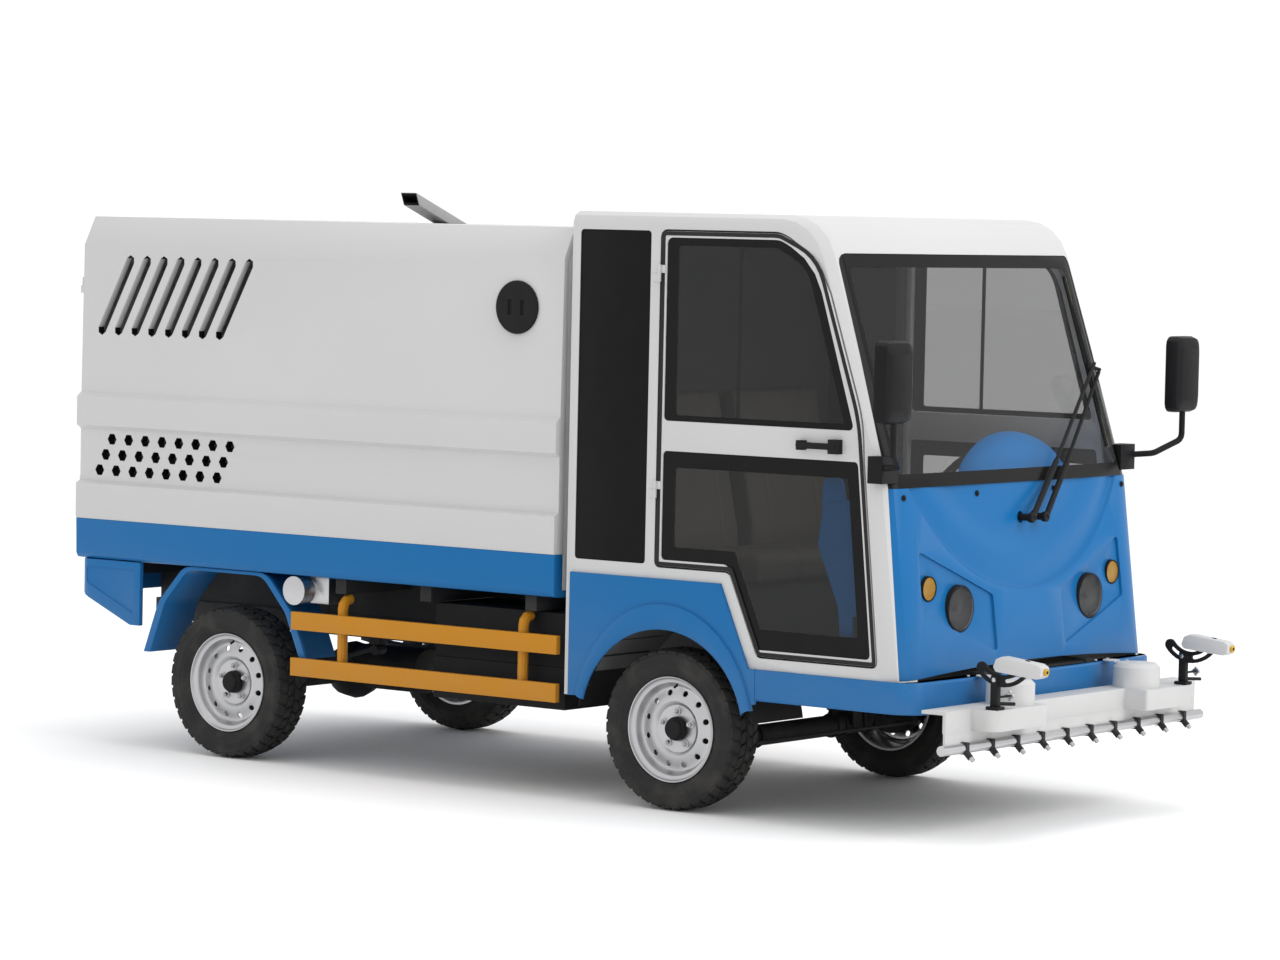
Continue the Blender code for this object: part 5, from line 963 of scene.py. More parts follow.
    def press_sides(self, piece):
        """Shallow pressed field in both ends of the tail apron."""
        low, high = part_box("rear_apron")
        corners = [(high[1] - PRESS_EDGE, high[2] - PRESS_INSET, PRESS_CORNER),
                   (low[1] + PRESS_INSET, high[2] - PRESS_INSET, PRESS_CORNER),
                   (low[1] + PRESS_INSET, low[2] + PRESS_FOOT, PRESS_CORNER),
                   (high[1] - PRESS_EDGE, high[2] - PRESS_SLOPE_FOOT, PRESS_CORNER)]
        for sign in SIDES.values():
            start, end = sign * (high[0] - 0.005), sign * (high[0] + 0.02)
            cutter = plate("side_press", rounded(corners), "X", start, end)
            cut_away(piece, bevel(cutter, 0.003))
        smooth(piece)


# Glass and seals

DOOR_STEP = 0.279


def pane_corners(side, level):
    """Corners in y, z and radius of a door pane."""
    low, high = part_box(f"{level}_pane_{side}")
    rear, top, bottom = high[1], high[2], low[2]
    if level == "upper":
        return [(rear, top, 0.02), (rear - 0.470, top, 0.08), (rear - 0.612, top - 0.068, 0.25),
                (rear - 0.787, bottom, 0.015), (rear, bottom, 0.015)]
    return [(rear, top, 0.015), (rear - 0.805, top, 0.015), (rear - 0.872, bottom, 0.015),
            (rear - 0.402, bottom, 0.02), (rear - 0.278, bottom + DOOR_STEP, 0.02),
            (rear, bottom + DOOR_STEP, 0.015)]


def door_corners(side):
    """Corners in y, z and radius of a cab door."""
    rear, top = (value + 0.022 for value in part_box(f"upper_pane_{side}")[1][1:])
    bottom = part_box(f"door_{side}")[0][2]
    return [(rear, top, 0.02), (rear - 0.492, top, 0.10), (rear - 0.652, top - 0.07, 0.30),
            (rear - 0.835, bottom + 0.815, 0.60), (rear - 0.920, bottom, 0.015),
            (rear - 0.437, bottom, 0.02), (rear - 0.314, bottom + DOOR_STEP, 0.03),
            (rear, bottom + DOOR_STEP, 0.015)]


BORDERS = {"upper": (0.026, 0.030, 0.034, 0.020, 0.048), "lower": (0.055, 0.045, 0.068, 0.045, 0.045, 0.052)}
SCREEN_BORDER = 0.045
SEAL_WIDTH = 0.0145
SCREEN_TAPER = 0.022
PANE_PROUD = 0.0040
DIVIDER_SETBACK = 0.303


class TRUCK_OT_glazing(TruckPiece, bpy.types.Operator):
    """Windscreen and door panes with their dark borders, the door seals and the sliding panes' dividers"""

    bl_idname = "truck.glazing"
    bl_label = "Glazing"

    def execute(self, context):
        low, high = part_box("windshield")
        foot, top = high[0], high[0] - SCREEN_TAPER
        corners = [(-foot, low[2], 0.0), (foot, low[2], 0.0), (top, high[2], 0.035), (-top, high[2], 0.035)]
        opening = rounded(inset_outline(corners, [SCREEN_BORDER] * 4, 0.03))
        self.glaze("windshield", plate("cutter", opening, "Y", low[1] - 0.1, high[1] + 0.1), "screen")
        for side, sign in SIDES.items():
            body = body_of(f"door_{side}")
            face = sign * (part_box("upper_pane_left")[1][0] + PANE_PROUD)
            for level, distances in BORDERS.items():
                opening = rounded(inset_outline(pane_corners(side, level), distances, 0.012))
                cutter = plate("cutter", opening, "X", face - 0.03, face + 0.03)
                self.glaze(f"{level}_pane_{side}", cutter, "window")
            corners = door_corners(side)
            outer = rounded(inset_outline(corners, [0.0006] * 8, 0.004))
            inner = rounded(inset_outline(corners, [SEAL_WIDTH] * 8, 0.004))
            seal = framed(f"door_seal_{side}", outer, inner, "X", face + sign * 0.0003, face + sign * 0.0016)
            coat(seal, "seal", "black", body)
            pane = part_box(f"upper_pane_{side}")
            y = pane[1][1] - DIVIDER_SETBACK
            bar = block(f"pane_divider_{side}", (face - sign * 0.0145, y - 0.007, pane[0][2] + 0.012),
                        (face - sign * 0.0095, y + 0.007, pane[1][2] - 0.012), 0.0015)
            coat(bar, "black", "black", body)
        return {"FINISHED"}

    def glaze(self, node, cutter, finish):
        """Divides a pane into its dark border and its clear middle."""
        border, clear = split(panel_copy(node, 0.0, dissolve=0.01), cutter, f"{node}_clear")
        coat(border, "border", "glass", body_of(node), (node,))
        coat(clear, finish, "glass", body_of(node))
        second_finish(clear, "inner_face", lambda face: inward(face, CAB_MIDDLE))


# Wheels

TYRE_HALF = (
    (0.052, 0.178), (0.060, 0.183), (0.066, 0.192), (0.0705, 0.199), (0.0712, 0.2015), (0.0745, 0.204),
    (0.0775, 0.212), (0.0795, 0.2195), (0.0798, 0.221), (0.0812, 0.2225), (0.0815, 0.230),
    (0.0802, 0.232), (0.0798, 0.240), (0.0780, 0.2475), (0.0788, 0.249), (0.0772, 0.2575),
    (0.0745, 0.2635), (0.0690, 0.2680), (0.0600, 0.2702), (0.0400, 0.2718), (0.0200, 0.2724))
OUTLINE_WIDTH = 0.165
OUTLINE_RADIUS = 0.28
BEADS = [(-0.046, 0.172), (0.046, 0.172)]
TREAD_ROWS = (("shoulder_out", 0.036, 0.0745, 0.30, 0.74), ("middle_out", 0.004, 0.032, -0.22, 0.74))


def tyre_outline():
    """Tyre cross-section as (along, radius) pairs from the outer bead to the inner one."""
    scale = TYRE_WIDTH / OUTLINE_WIDTH
    rise = TYRE_RADIUS - OUTLINE_RADIUS
    outline = [(along * scale, radius + rise) for along, radius in TYRE_HALF]
    return outline + [(0.0, 0.2725 + rise)] + [(-along, radius) for along, radius in reversed(outline)]


class TRUCK_OT_tyres(TruckPiece, bpy.types.Operator):
    """Four tyres with shaped side walls and open-shouldered block tread"""

    bl_idname = "truck.tyres"
    bl_label = "Tyres"

    def execute(self, context):
        settings = context.scene.cleaning_truck_look
        outline = tyre_outline()
        carcass = turned("tyre_carcass", outline + BEADS + outline[:1], (0, 0, 0), "X", 96)
        smooth(carcass, 40.0)
        top, foot = TYRE_RADIUS - 0.0004, TYRE_RADIUS - settings.tread_depth - 0.004
        count = settings.tread_count
        step = math.tau / count
        rows = []
        for name, inner_x, outer_x, lead, width in TREAD_ROWS:
            pitch = step * TYRE_RADIUS
            cross = width * pitch / 2
            slant = lead * pitch
            drop = 0.0095 if outer_x > 0.05 else 0.0
            base = [(inner_x, -cross, top), (inner_x, cross, top),
                    (outer_x, cross + slant, top - drop), (outer_x, -cross + slant, top - drop)]
            lug = slab(name, base, (0, 0, foot - top), 0.0)
            bevel(lug, 0.0016, 2)
            around(lug, count, (0, 0, 0), (1, 0, 0))
            rows.append(lug)
            other = twin(lug, f"{name}_mirrored", mirror=True)
            other.data.transform(Matrix.Rotation(step * 0.5, 4, "X"))
            rows.append(other)
        tyre = fuse("tyre_pattern", carcass, *rows)
        smooth(tyre, 40.0)
        for end, y in (("front", FRONT_AXLE_Y), ("rear", REAR_AXLE_Y)):
            for side, sign in SIDES.items():
                piece = twin(tyre, f"tread_tyre_{end}_{side}", mirror=side == "left")
                piece.data.transform(Matrix.Translation((sign * WHEEL_X, y, AXLE_Z)))
                coat(piece, "tyre", "tyre", f"wheel_{end}_{side}", (f"tyre_{end}_{side}",))
        bpy.data.objects.remove(tyre)
        return {"FINISHED"}


VENT_COUNT = 12
VENT_CIRCLE = 0.1265
VENT_RADIUS = 0.0102
VENT_DEPTH = 0.038
STUD_COUNT = 5
STUD_CIRCLE = 0.061
DISC_OUTLINE = (
    (0.004, 0.1830), (0.0, 0.1815), (0.0015, 0.1780), (0.010, 0.1750), (0.014, 0.1700), (0.015, 0.1610),
    (0.024, 0.1560), (0.036, 0.1530), (0.044, 0.1450), (0.043, 0.1330), (0.038, 0.1220), (0.033, 0.1080),
    (0.031, 0.0960), (0.036, 0.0880), (0.042, 0.0820), (0.043, 0.0700), (0.043, 0.0300))
BARREL_OUTLINE = (
    (0.040, 0.1570), (0.090, 0.1570), (0.105, 0.1640), (0.128, 0.1690), (0.131, 0.1790), (0.128, 0.1825),
    (0.124, 0.1800), (0.120, 0.1740), (0.104, 0.1700), (0.090, 0.1625), (0.040, 0.1625), (0.020, 0.1725))
CAP_OUTLINE = (
    (0.043, 0.041), (0.030, 0.041), (0.027, 0.0395), (0.026, 0.035), (0.014, 0.0335), (0.0105, 0.030),
    (0.0095, 0.0001), (0.043, 0.0001))
DISC_WALL = 0.0045
BRAKE_SETBACK = 0.083
BRAKE_RADIUS = 0.118


def set_back(outer, outline):
    """Outline of (depth, radius) pairs measured inwards from a wheel's outer face."""
    return [(outer - depth, radius) for depth, radius in outline]


class TRUCK_OT_rims(TruckPiece, bpy.types.Operator):
    """Pressed steel wheels with round vents, studs and a dark hub cap"""

    bl_idname = "truck.rims"
    bl_label = "Wheels"

    def execute(self, context):
        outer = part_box("rim_front_left")[1][0] - WHEEL_X
        disc = set_back(outer, DISC_OUTLINE)
        back = [(along - DISC_WALL, radius - 0.0005) for along, radius in reversed(disc[7:])]
        barrel = set_back(outer, BARREL_OUTLINE)
        profile = disc + back + barrel + disc[:1]
        wheel = turned("wheel_disc", profile, (0, 0, 0), "X", 96)
        for k in range(VENT_COUNT):
            angle = math.tau * (k + 0.5) / VENT_COUNT
            centre = (outer - VENT_DEPTH, VENT_CIRCLE * math.cos(angle), VENT_CIRCLE * math.sin(angle))
            cut_away(wheel, drum("vent_cutter", centre, "X", VENT_RADIUS, 0.05, 20))
        bevel(wheel, 0.0008, 2, 40.0)
        smooth(wheel, 40.0)
        parts = []
        for k in range(STUD_COUNT):
            angle = math.tau * k / STUD_COUNT + math.pi / 2
            y, z = STUD_CIRCLE * math.cos(angle), STUD_CIRCLE * math.sin(angle)
            seat = drum("stud_seat", (outer - 0.041, y, z), "X", 0.0135, 0.004, 24, 0.001)
            nut = drum("stud_nut", (outer - 0.033, y, z), "X", 0.0095, 0.016, 6, 0.0012)
            bolt = drum("stud_end", (outer - 0.024, y, z), "X", 0.0052, 0.008, 12, 0.0010)
            parts += [seat, nut, bolt]
        studs = smooth(fuse("wheel_studs", *parts), 30.0)
        cap_outline = set_back(outer, CAP_OUTLINE)
        cap = turned("hub_cap", cap_outline + cap_outline[:1], (0, 0, 0), "X", 40)
        bevel(cap, 0.0008, 2, 40.0)
        smooth(cap, 40.0)
        ends = [(outer - 0.036, 0.0, 0.150), (outer - 0.020, 0.0, 0.143)]
        valve = pipe("tyre_valve", ends, 0.0042, section=2)
        for end, y in (("front", FRONT_AXLE_Y), ("rear", REAR_AXLE_Y)):
            for side, sign in SIDES.items():
                body = f"wheel_{end}_{side}"
                for source, name, finish, slot in (
                        (wheel, "wheel_disc", "rim", "rim"), (studs, "wheel_studs", "steel", "steel"),
                        (cap, "hub_cap", "black", "black"), (valve, "tyre_valve", "black", "black")):
                    piece = twin(source, f"{name}_{end}_{side}", mirror=side == "right")
                    piece.data.transform(Matrix.Translation((sign * WHEEL_X, y, AXLE_Z)))
                    coat(piece, finish, slot, body, (f"rim_{end}_{side}",) if source is wheel else ())
                place = (sign * (WHEEL_X + outer - BRAKE_SETBACK), y, AXLE_Z)
                brake = drum(f"brake_drum_{end}_{side}", place, "X", BRAKE_RADIUS, 0.070, 48, 0.006)
                coat(smooth(brake), "dark", "dark", body)
        for source in (wheel, studs, cap, valve):
            bpy.data.objects.remove(source)
        return {"FINISHED"}


# Lamps and nose

HEADLAMP_RADIUS = 0.080
HEADLAMP_LENS = 0.0725
AMBER_RADIUS = 0.043
AMBER_LENS = 0.0388
HEADLAMP_SHELL = (
    (0.0060, 0.0795), (0.0025, 0.0785), (0.0015, 0.0760), (0.0022, 0.0735), (0.0060, 0.0720),
    (0.0160, 0.0660), (0.0280, 0.0520), (0.0360, 0.0330), (0.0390, 0.0130), (0.0390, 0.0001),
    (0.0500, 0.0001), (0.0500, 0.0795))
AMBER_SHELL = (
    (0.0050, 0.0425), (0.0020, 0.0420), (0.0010, 0.0400), (0.0030, 0.0385), (0.0100, 0.0360),
    (0.0180, 0.0260), (0.0200, 0.0001), (0.0300, 0.0001), (0.0300, 0.0425))


def lamp_lens(name, centre, radius, rise):
    """Thin domed lens about a centre on the Y axis."""
    outer = [(0.0075, 1.0), (0.0040, 0.97), (0.55 * rise, 0.78), (0.15 * rise, 0.45), (0.0, 0.0015)]
    inner = [(along + 0.002, share * 0.97) for along, share in reversed(outer)]
    outline = [(along, share * radius) for along, share in outer + inner]
    return smooth(turned(name, outline + outline[:1], centre, "Y", 56), 50.0)


class TRUCK_OT_lamps(TruckPiece, bpy.types.Operator):
    """Headlamps and amber lamps sunk in the nose"""

    bl_idname = "truck.lamps"
    bl_label = "Lamps"

    def execute(self, context):
        for side, sign in SIDES.items():
            node = f"lamp_{side}"
            low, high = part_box(node)
            inner, outer = sorted((abs(low[0]), abs(high[0])))
            place = Vector((sign * (inner + HEADLAMP_RADIUS), low[1], low[2] + HEADLAMP_RADIUS))
            shell = turned(f"headlamp_shell_{side}", HEADLAMP_SHELL + HEADLAMP_SHELL[:1], place, "Y", 56)
            coat(smooth(shell, 40.0), "black", "lamp", "chassis", (node,))
            second_finish(shell, "cast", lambda face: 0.003 < face.center.y - place.y < 0.0395 and (
                Vector((face.center.x, face.center.z)) - Vector((place.x, place.z))).length < 0.0735)
            coat(lamp_lens(f"headlamp_lens_{side}", place, HEADLAMP_LENS, 0.006), "clear_lens", "lamp")
            bulb = ball(f"headlamp_bulb_{side}", place + Vector((0, 0.024, 0)), 0.011, (1.0, 1.5, 1.0), 10)
            cup = drum("bulb_cup", place + Vector((0, 0.016, 0)), "Y", 0.013, 0.006, 24, 0.0015)
            coat(smooth(fuse(f"headlamp_bulb_{side}", bulb, cup)), "cast", "lamp")
            x, z = sign * (outer - AMBER_RADIUS), high[2] - AMBER_RADIUS
            place = Vector((x, face_y(node, x, z), z))
            shell = turned(f"amber_shell_{side}", AMBER_SHELL + AMBER_SHELL[:1], place, "Y", 40)
            coat(smooth(shell, 40.0), "black", "lamp")
            coat(lamp_lens(f"amber_lens_{side}", place, AMBER_LENS, 0.004), "amber_lens", "lamp")
        return {"FINISHED"}


NOSE_BOLTS_X = (-0.690, -0.243, 0.243, 0.690)
NOSE_BOLTS_Z = 1.122
MIRROR_INSET = 0.080
MIRROR_DROP = 0.135
BLADE_FOOT_X = 0.632
BLADE_FOOT_Z = 1.256
BLADE_TIP_X = 0.635
BLADE_PROUD = 0.012
JOINT_X = 0.634
JOINT_Z = 1.537
JOINT_PROUD = 0.022
WIPER_ARMS = ((0.015, (0.030, -0.004, 0.010)), (0.100, (0.058, -0.006, -0.022)))
CLAWS = ((0.25, 0.17), (0.75, 0.17))


class TRUCK_OT_nose_fittings(TruckPiece, bpy.types.Operator):
    """Nose bolts, wiper and mirror glasses"""

    bl_idname = "truck.nose_fittings"
    bl_label = "Nose fittings"

    def execute(self, context):
        bolts = []
        for x in NOSE_BOLTS_X:
            place = (x, face_y("front_panel", x, NOSE_BOLTS_Z), NOSE_BOLTS_Z)
            bolts.append(drum("bolt_flange", place, "Y", 0.0105, 0.006, 28, 0.0010))
            head = (x, place[1] - 0.004, NOSE_BOLTS_Z)
            bolts.append(drum("bolt_head", head, "Y", 0.0065, 0.006, 6, 0.0010))
        coat(smooth(fuse("nose_bolts", *bolts), 30.0), "black", "black")
        self.wiper()
        for side, sign in SIDES.items():
            low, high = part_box(f"mirror_{side}")
            x, z = sign * (high[0] if sign > 0 else -low[0]) - sign * MIRROR_INSET, high[2] - MIRROR_DROP
            rear = face_y(f"mirror_{side}", x, z, 4.0)
            glass = plate(f"mirror_glass_{side}", rectangle(x, z, 0.064, 0.118, 0.022), "Y",
                          rear - 0.001, rear + 0.0012, 0.0004)
            coat(glass, "mirror", "glass")
        return {"FINISHED"}

    def wiper(self):
        """Two arms from twin pivots, a claw frame and the blade with its bright edge."""
        low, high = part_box("wiper")
        pivot_y, pivot_z = low[1] + 0.008, low[2] + 0.020
        head_y = pivot_y + 0.002

        def on_glass(x, z, proud):
            return Vector((x, face_y("windshield", x, z) - proud, z))

        foot = on_glass(BLADE_FOOT_X, BLADE_FOOT_Z, BLADE_PROUD)
        tip = on_glass(BLADE_TIP_X, high[2] - 0.008, BLADE_PROUD)
        joint = on_glass(JOINT_X, JOINT_Z, JOINT_PROUD)
        parts = []
        for x, reach in WIPER_ARMS:
            end = joint + Vector(reach)
            start = Vector((x, head_y, pivot_z))
            knee = start.lerp(end, 0.36) + Vector((0.0, -0.004, 0.0))
            parts.append(drum("pivot_cap", (x, head_y + 0.004, pivot_z), "Y", 0.0175, 0.020, 32, 0.0035, 3))
            parts.append(drum("pivot_sleeve", (x, head_y + 0.031, pivot_z), "Y", 0.0125, 0.044, 28, 0.001))
            parts.append(pipe("arm_head", [start, knee], 0.0105))
            parts.append(pipe("arm_rod", [start.lerp(knee, 0.9), end], 0.0068))
        parts.append(pipe("claw_link", [joint, joint + Vector((0.062, -0.008, -0.014))], 0.0065))
        parts.append(ball("claw_joint", joint, 0.012, (1.0, 0.8, 1.5), 8))
        for share, reach in CLAWS:
            middle = foot.lerp(tip, share)
            parts.append(pipe("claw", [foot.lerp(tip, share - reach), middle + Vector((0, -0.010, 0)),
                                       foot.lerp(tip, share + reach)], 0.0032, 0.03))
        parts.append(pipe("claw_bridge", [foot.lerp(tip, 0.25) + Vector((0, -0.009, 0)), joint,
                                          foot.lerp(tip, 0.75) + Vector((0, -0.009, 0))], 0.0036, 0.03))
        parts.append(pipe("blade", [foot, tip], 0.0072))
        coat(smooth(fuse("wiper_gear", *parts)), "black", "black", "chassis", ("wiper",))
        side = Vector((0.0080, -0.001, 0.0))
        coat(pipe("wiper_edge", [foot + side, tip + side], 0.0024), "lime", "black")


# Spray gear

PIPE_Y = FRONT_AXLE_Y - 1.174
PIPE_Z = 0.316
NOZZLE_COUNT = 10
NOZZLE_PITCH = 0.155
CLAMP_HALF = 0.0205
BEAM_DROP = 0.060
CLAMP_RINGS_X = (0.235, 0.285, 0.465)
SPRING_BOLTS_X = (0.303, 0.377)
MOTOR_X = 0.405
GUN_PITCH_DEG = 5.0
GUN_NOSE_Z = 0.578
ARC_SETBACK = 0.107
ARC_CENTRE_Z = 0.64
ARC_RADIUS = 0.103
ARC_WIDTH = 0.040
ARC_SPAN = (207.0, 322.0)
SLOT_WIDTH = 0.013
SLOT_SPANS = ((214.0, 262.0), (278.0, 312.0))
KNOB_X = 0.088
KNOB_RISE = 0.040
GUN_OUTLINE = (
    (0.010, -0.016), (0.030, -0.026), (0.186, -0.026), (0.198, -0.012), (0.190, 0.016), (0.168, 0.027),
    (0.030, 0.024), (0.010, 0.015))


class TRUCK_OT_spray_gear(TruckPiece, bpy.types.Operator):
    """Swivelling spray heads with slotted brackets, knobs and gold nozzle tips"""

    bl_idname = "truck.spray_gear"
    bl_label = "Spray gear"

    def execute(self, context):
        for side in SIDES:
            self.head(side)
        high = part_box("spray_bar")[1]
        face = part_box("spray_head_left")[1][1] + 0.092
        parts = []
        for sign in SIDES.values():
            x = sign * MOTOR_X
            parts.append(drum("motor_dish", (x, face, high[2] + 0.0008), "Z", 0.030, 0.004, 40, 0.0015))
            for k in range(4):
                turn = math.tau * (k + 0.5) / 4
                place = (x + 0.056 * math.cos(turn), face + 0.056 * math.sin(turn), high[2] + 0.0005)
                parts.append(drum("motor_bolt", place, "Z", 0.0055, 0.005, 6, 0.0008))
        coat(smooth(fuse("motor_fittings", *parts), 30.0), "cream", "white")
        self.nozzle_clamps()
        self.beam_clamps()
        return {"FINISHED"}

    def nozzle_clamps(self):
        """Dark clamp and collar at each nozzle of the spray pipe."""
        parts = []
        y, z = PIPE_Y, PIPE_Z
        for k in range(NOZZLE_COUNT):
            x = (k - (NOZZLE_COUNT - 1) / 2) * NOZZLE_PITCH
            parts.append(block("nozzle_clamp", (x - 0.010, y - CLAMP_HALF, z - CLAMP_HALF),
                               (x + 0.010, y + CLAMP_HALF, z + CLAMP_HALF), 0.004))
            elbow = [(x, y - 0.012, z - 0.013), (x, y - 0.030, z - 0.0305)]
            parts.append(pipe("nozzle_collar", elbow, 0.0110))
        coat(smooth(fuse("nozzle_clamps", *parts), 35.0), "dark", "dark")

    def beam_clamps(self):
        """Rings round the front axle beam and the springs' bolts."""
        parts = []
        for sign in SIDES.values():
            for x in CLAMP_RINGS_X:
                place = (sign * x, FRONT_AXLE_Y, AXLE_Z - BEAM_DROP)
                parts.append(drum("beam_clamp", place, "X", 0.0445, 0.012, 32, 0.002))
            for x in SPRING_BOLTS_X:
                for shift in (-0.052, 0.052):
                    y = FRONT_AXLE_Y + shift
                    ends = [(sign * x, y, AXLE_Z - 0.075), (sign * x, y, AXLE_Z + 0.095)]
                    parts.append(pipe("spring_bolt", ends, 0.0060))
        coat(smooth(fuse("beam_clamps", *parts), 35.0), "dark", "dark")

    def head(self, side):
        """One spray head: gun, gold tip, slotted bracket, swivel and knob."""
        low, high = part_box(f"spray_head_{side}")
        x = (low[0] + high[0]) / 2
        pitch = math.radians(GUN_PITCH_DEG)
        aim = Vector((0.0, math.cos(pitch), math.sin(pitch)))
        up = Vector((0.0, -math.sin(pitch), math.cos(pitch)))
        nose = Vector((x, low[1] + 0.001, GUN_NOSE_Z))
        middle = nose - Vector((0.026, 0.0, 0.0))
        points = [middle + aim * a + up * b for a, b in GUN_OUTLINE]
        gun = slab(f"spray_gun_{side}", points, (0.052, 0.0, 0.0), 0.0055, 3)
        coat(smooth(gun, 30.0), "cream", "white", "chassis", (f"spray_head_{side}",))
        tip = pipe(f"gun_tip_{side}", [nose + aim * 0.002, nose + aim * 0.024], 0.0120, section=6)
        lip = ring("tip_lip", (0, 0, 0), "Y", 0.0098, 0.0024, 32, 10)
        lip.data.transform(Matrix.Translation(nose + aim * 0.003) @ Matrix.Rotation(pitch, 4, "X"))
        coat(smooth(fuse(f"gun_tip_{side}", tip, lip), 40.0), "brass", "steel")
        hole = pipe(f"gun_bore_{side}", [nose + aim * 0.0008, nose + aim * 0.006], 0.0050)
        coat(hole, "black", "black")
        front = high[1] - ARC_SETBACK
        centre = (front, ARC_CENTRE_Z)
        bracket = plate(f"arc_bracket_{side}", self.band(centre, ARC_RADIUS, ARC_WIDTH, *ARC_SPAN), "X",
                        x - 0.005, x + 0.005)
        for start, end in SLOT_SPANS:
            slot = self.band(centre, ARC_RADIUS, SLOT_WIDTH, start, end)
            cut_away(bracket, plate("slot", slot, "X", x - 0.02, x + 0.02))
        bevel(bracket, 0.0012)
        base = low[2]
        column = front + 0.027
        parts = [
            bracket,
            block("swivel_base", (x - 0.022, column - 0.024, base),
                  (x + 0.022, column + 0.024, base + 0.011), 0.002),
            block("swivel_column", (x - 0.011, column - 0.014, base + 0.010),
                  (x + 0.011, column + 0.014, 0.553), 0.002),
            pipe("swivel_lever", [(x, column, base + 0.020), (x + KNOB_X, column - 0.018, base + 0.014)],
                 0.0062),
            pipe("clamp_rod", [(x, column, base + KNOB_RISE), (x + 0.085, column, base + KNOB_RISE)],
                 0.0040),
        ]
        coat(smooth(fuse(f"swivel_{side}", *parts), 35.0), "black", "black")
        bolts = [drum("arc_bolt", (x, column, 0.540), "X", 0.0085, 0.030, 6, 0.001),
                 drum("gun_bolt", (x, front - 0.075, 0.562), "X", 0.0060, 0.024, 6, 0.001)]
        knob = drum("knob", (x + KNOB_X, column, base + KNOB_RISE), "X", 0.0125, 0.010, 12, 0.002)
        lobes = [ball("knob_lobe", (x + KNOB_X, *polar((column, base + KNOB_RISE), 0.012, 90.0 * k)),
                      0.0058, (1.1, 1.0, 1.0), 8) for k in range(4)]
        coat(smooth(fuse(f"clamp_knob_{side}", *bolts, knob, *lobes), 40.0), "steel", "steel")

    def band(self, centre, radius, width, first, last):
        """Outline of a curved strap with round ends."""
        points = []
        for reach, start, end in ((width / 2, first, last), (-width / 2, last, first)):
            points += [polar(centre, radius + reach, start + (end - start) * k / 14) for k in range(15)]
            middle, turn = polar(centre, radius, end), end + (0.0 if reach > 0 else 180.0)
            points += [polar(middle, width / 2, turn + 180.0 * k / 7) for k in range(1, 7)]
        return points


# Cab inside

PAD_VOXEL = 0.013
PAD_PRESSURE = 4.0
PAD_STEPS = 20
SEAM_DEPTH = 0.007
SEAM_WIDTH = 0.007


def pad(name, outline, start, end, channels, cap):
    """Stuffed cushion: a rounded block blown up by cloth pressure, with sewn channels."""
    piece = plate(name, outline, "X", start, end, 0.020, 3)
    scene = bpy.context.scene
    modify(piece, "REMESH", mode="VOXEL", voxel_size=PAD_VOXEL)
    only(piece)
    cloth = piece.modifiers.new("stuffing", "CLOTH")
    cloth.settings.use_pressure = True
    cloth.settings.uniform_pressure_force = PAD_PRESSURE
    cloth.settings.effector_weights.gravity = 0.0
    for number in range(1, PAD_STEPS + 1):
        scene.frame_set(number)
    blown = piece.evaluated_get(bpy.context.evaluated_depsgraph_get()).data
    moved = []
    for before, after in zip(piece.data.vertices, blown.vertices):
        step = after.co - before.co
        moved.append(before.co + step * min(1.0, cap / max(step.length, 1e-9)))
    piece.modifiers.remove(cloth)
    scene.frame_set(1)
    for vertex, place in zip(piece.data.vertices, moved):
        vertex.co = place
    modify(piece, "SUBSURF", levels=1)
    for vertex in piece.data.vertices:
        depth = sum(SEAM_DEPTH * math.exp(-((vertex.co.x - x) / SEAM_WIDTH) ** 2) for x in channels)
        vertex.co -= vertex.normal * depth
    return smooth(piece, 180.0)


PAD_INSET = 0.012
PAD_GAP = 0.035
SEAT_SEAMS = (-0.31, 0.0, 0.31)
BACK_SEAM = 0.15
HOOD_X = 0.31
HOOD_Z = 1.10
HOOD_FOOT_Z = 1.11
HOOD_SIZE = (0.32, 0.165, 0.208)
DIALS_X = (-0.062, 0.062)
CAB_FLOOR_Z = 0.575
PEDALS_X = (-0.09, 0.06)
PILLAR_STRIP = [
    (-1.384, 0.640, 0.012), (-1.345, 1.000, 0.06), (-1.298, 1.060, 0.05), (-1.300, 1.176, 0.03),
    (-1.378, 1.180, 0.03), (-1.428, 0.880, 0.1), (-1.436, 0.640, 0.012)]
PEDAL_PAD = (
    (-0.035, -1.395, 0.035), (0.035, -1.395, 0.035), (0.035, -1.428, 0.095), (-0.035, -1.428, 0.095))


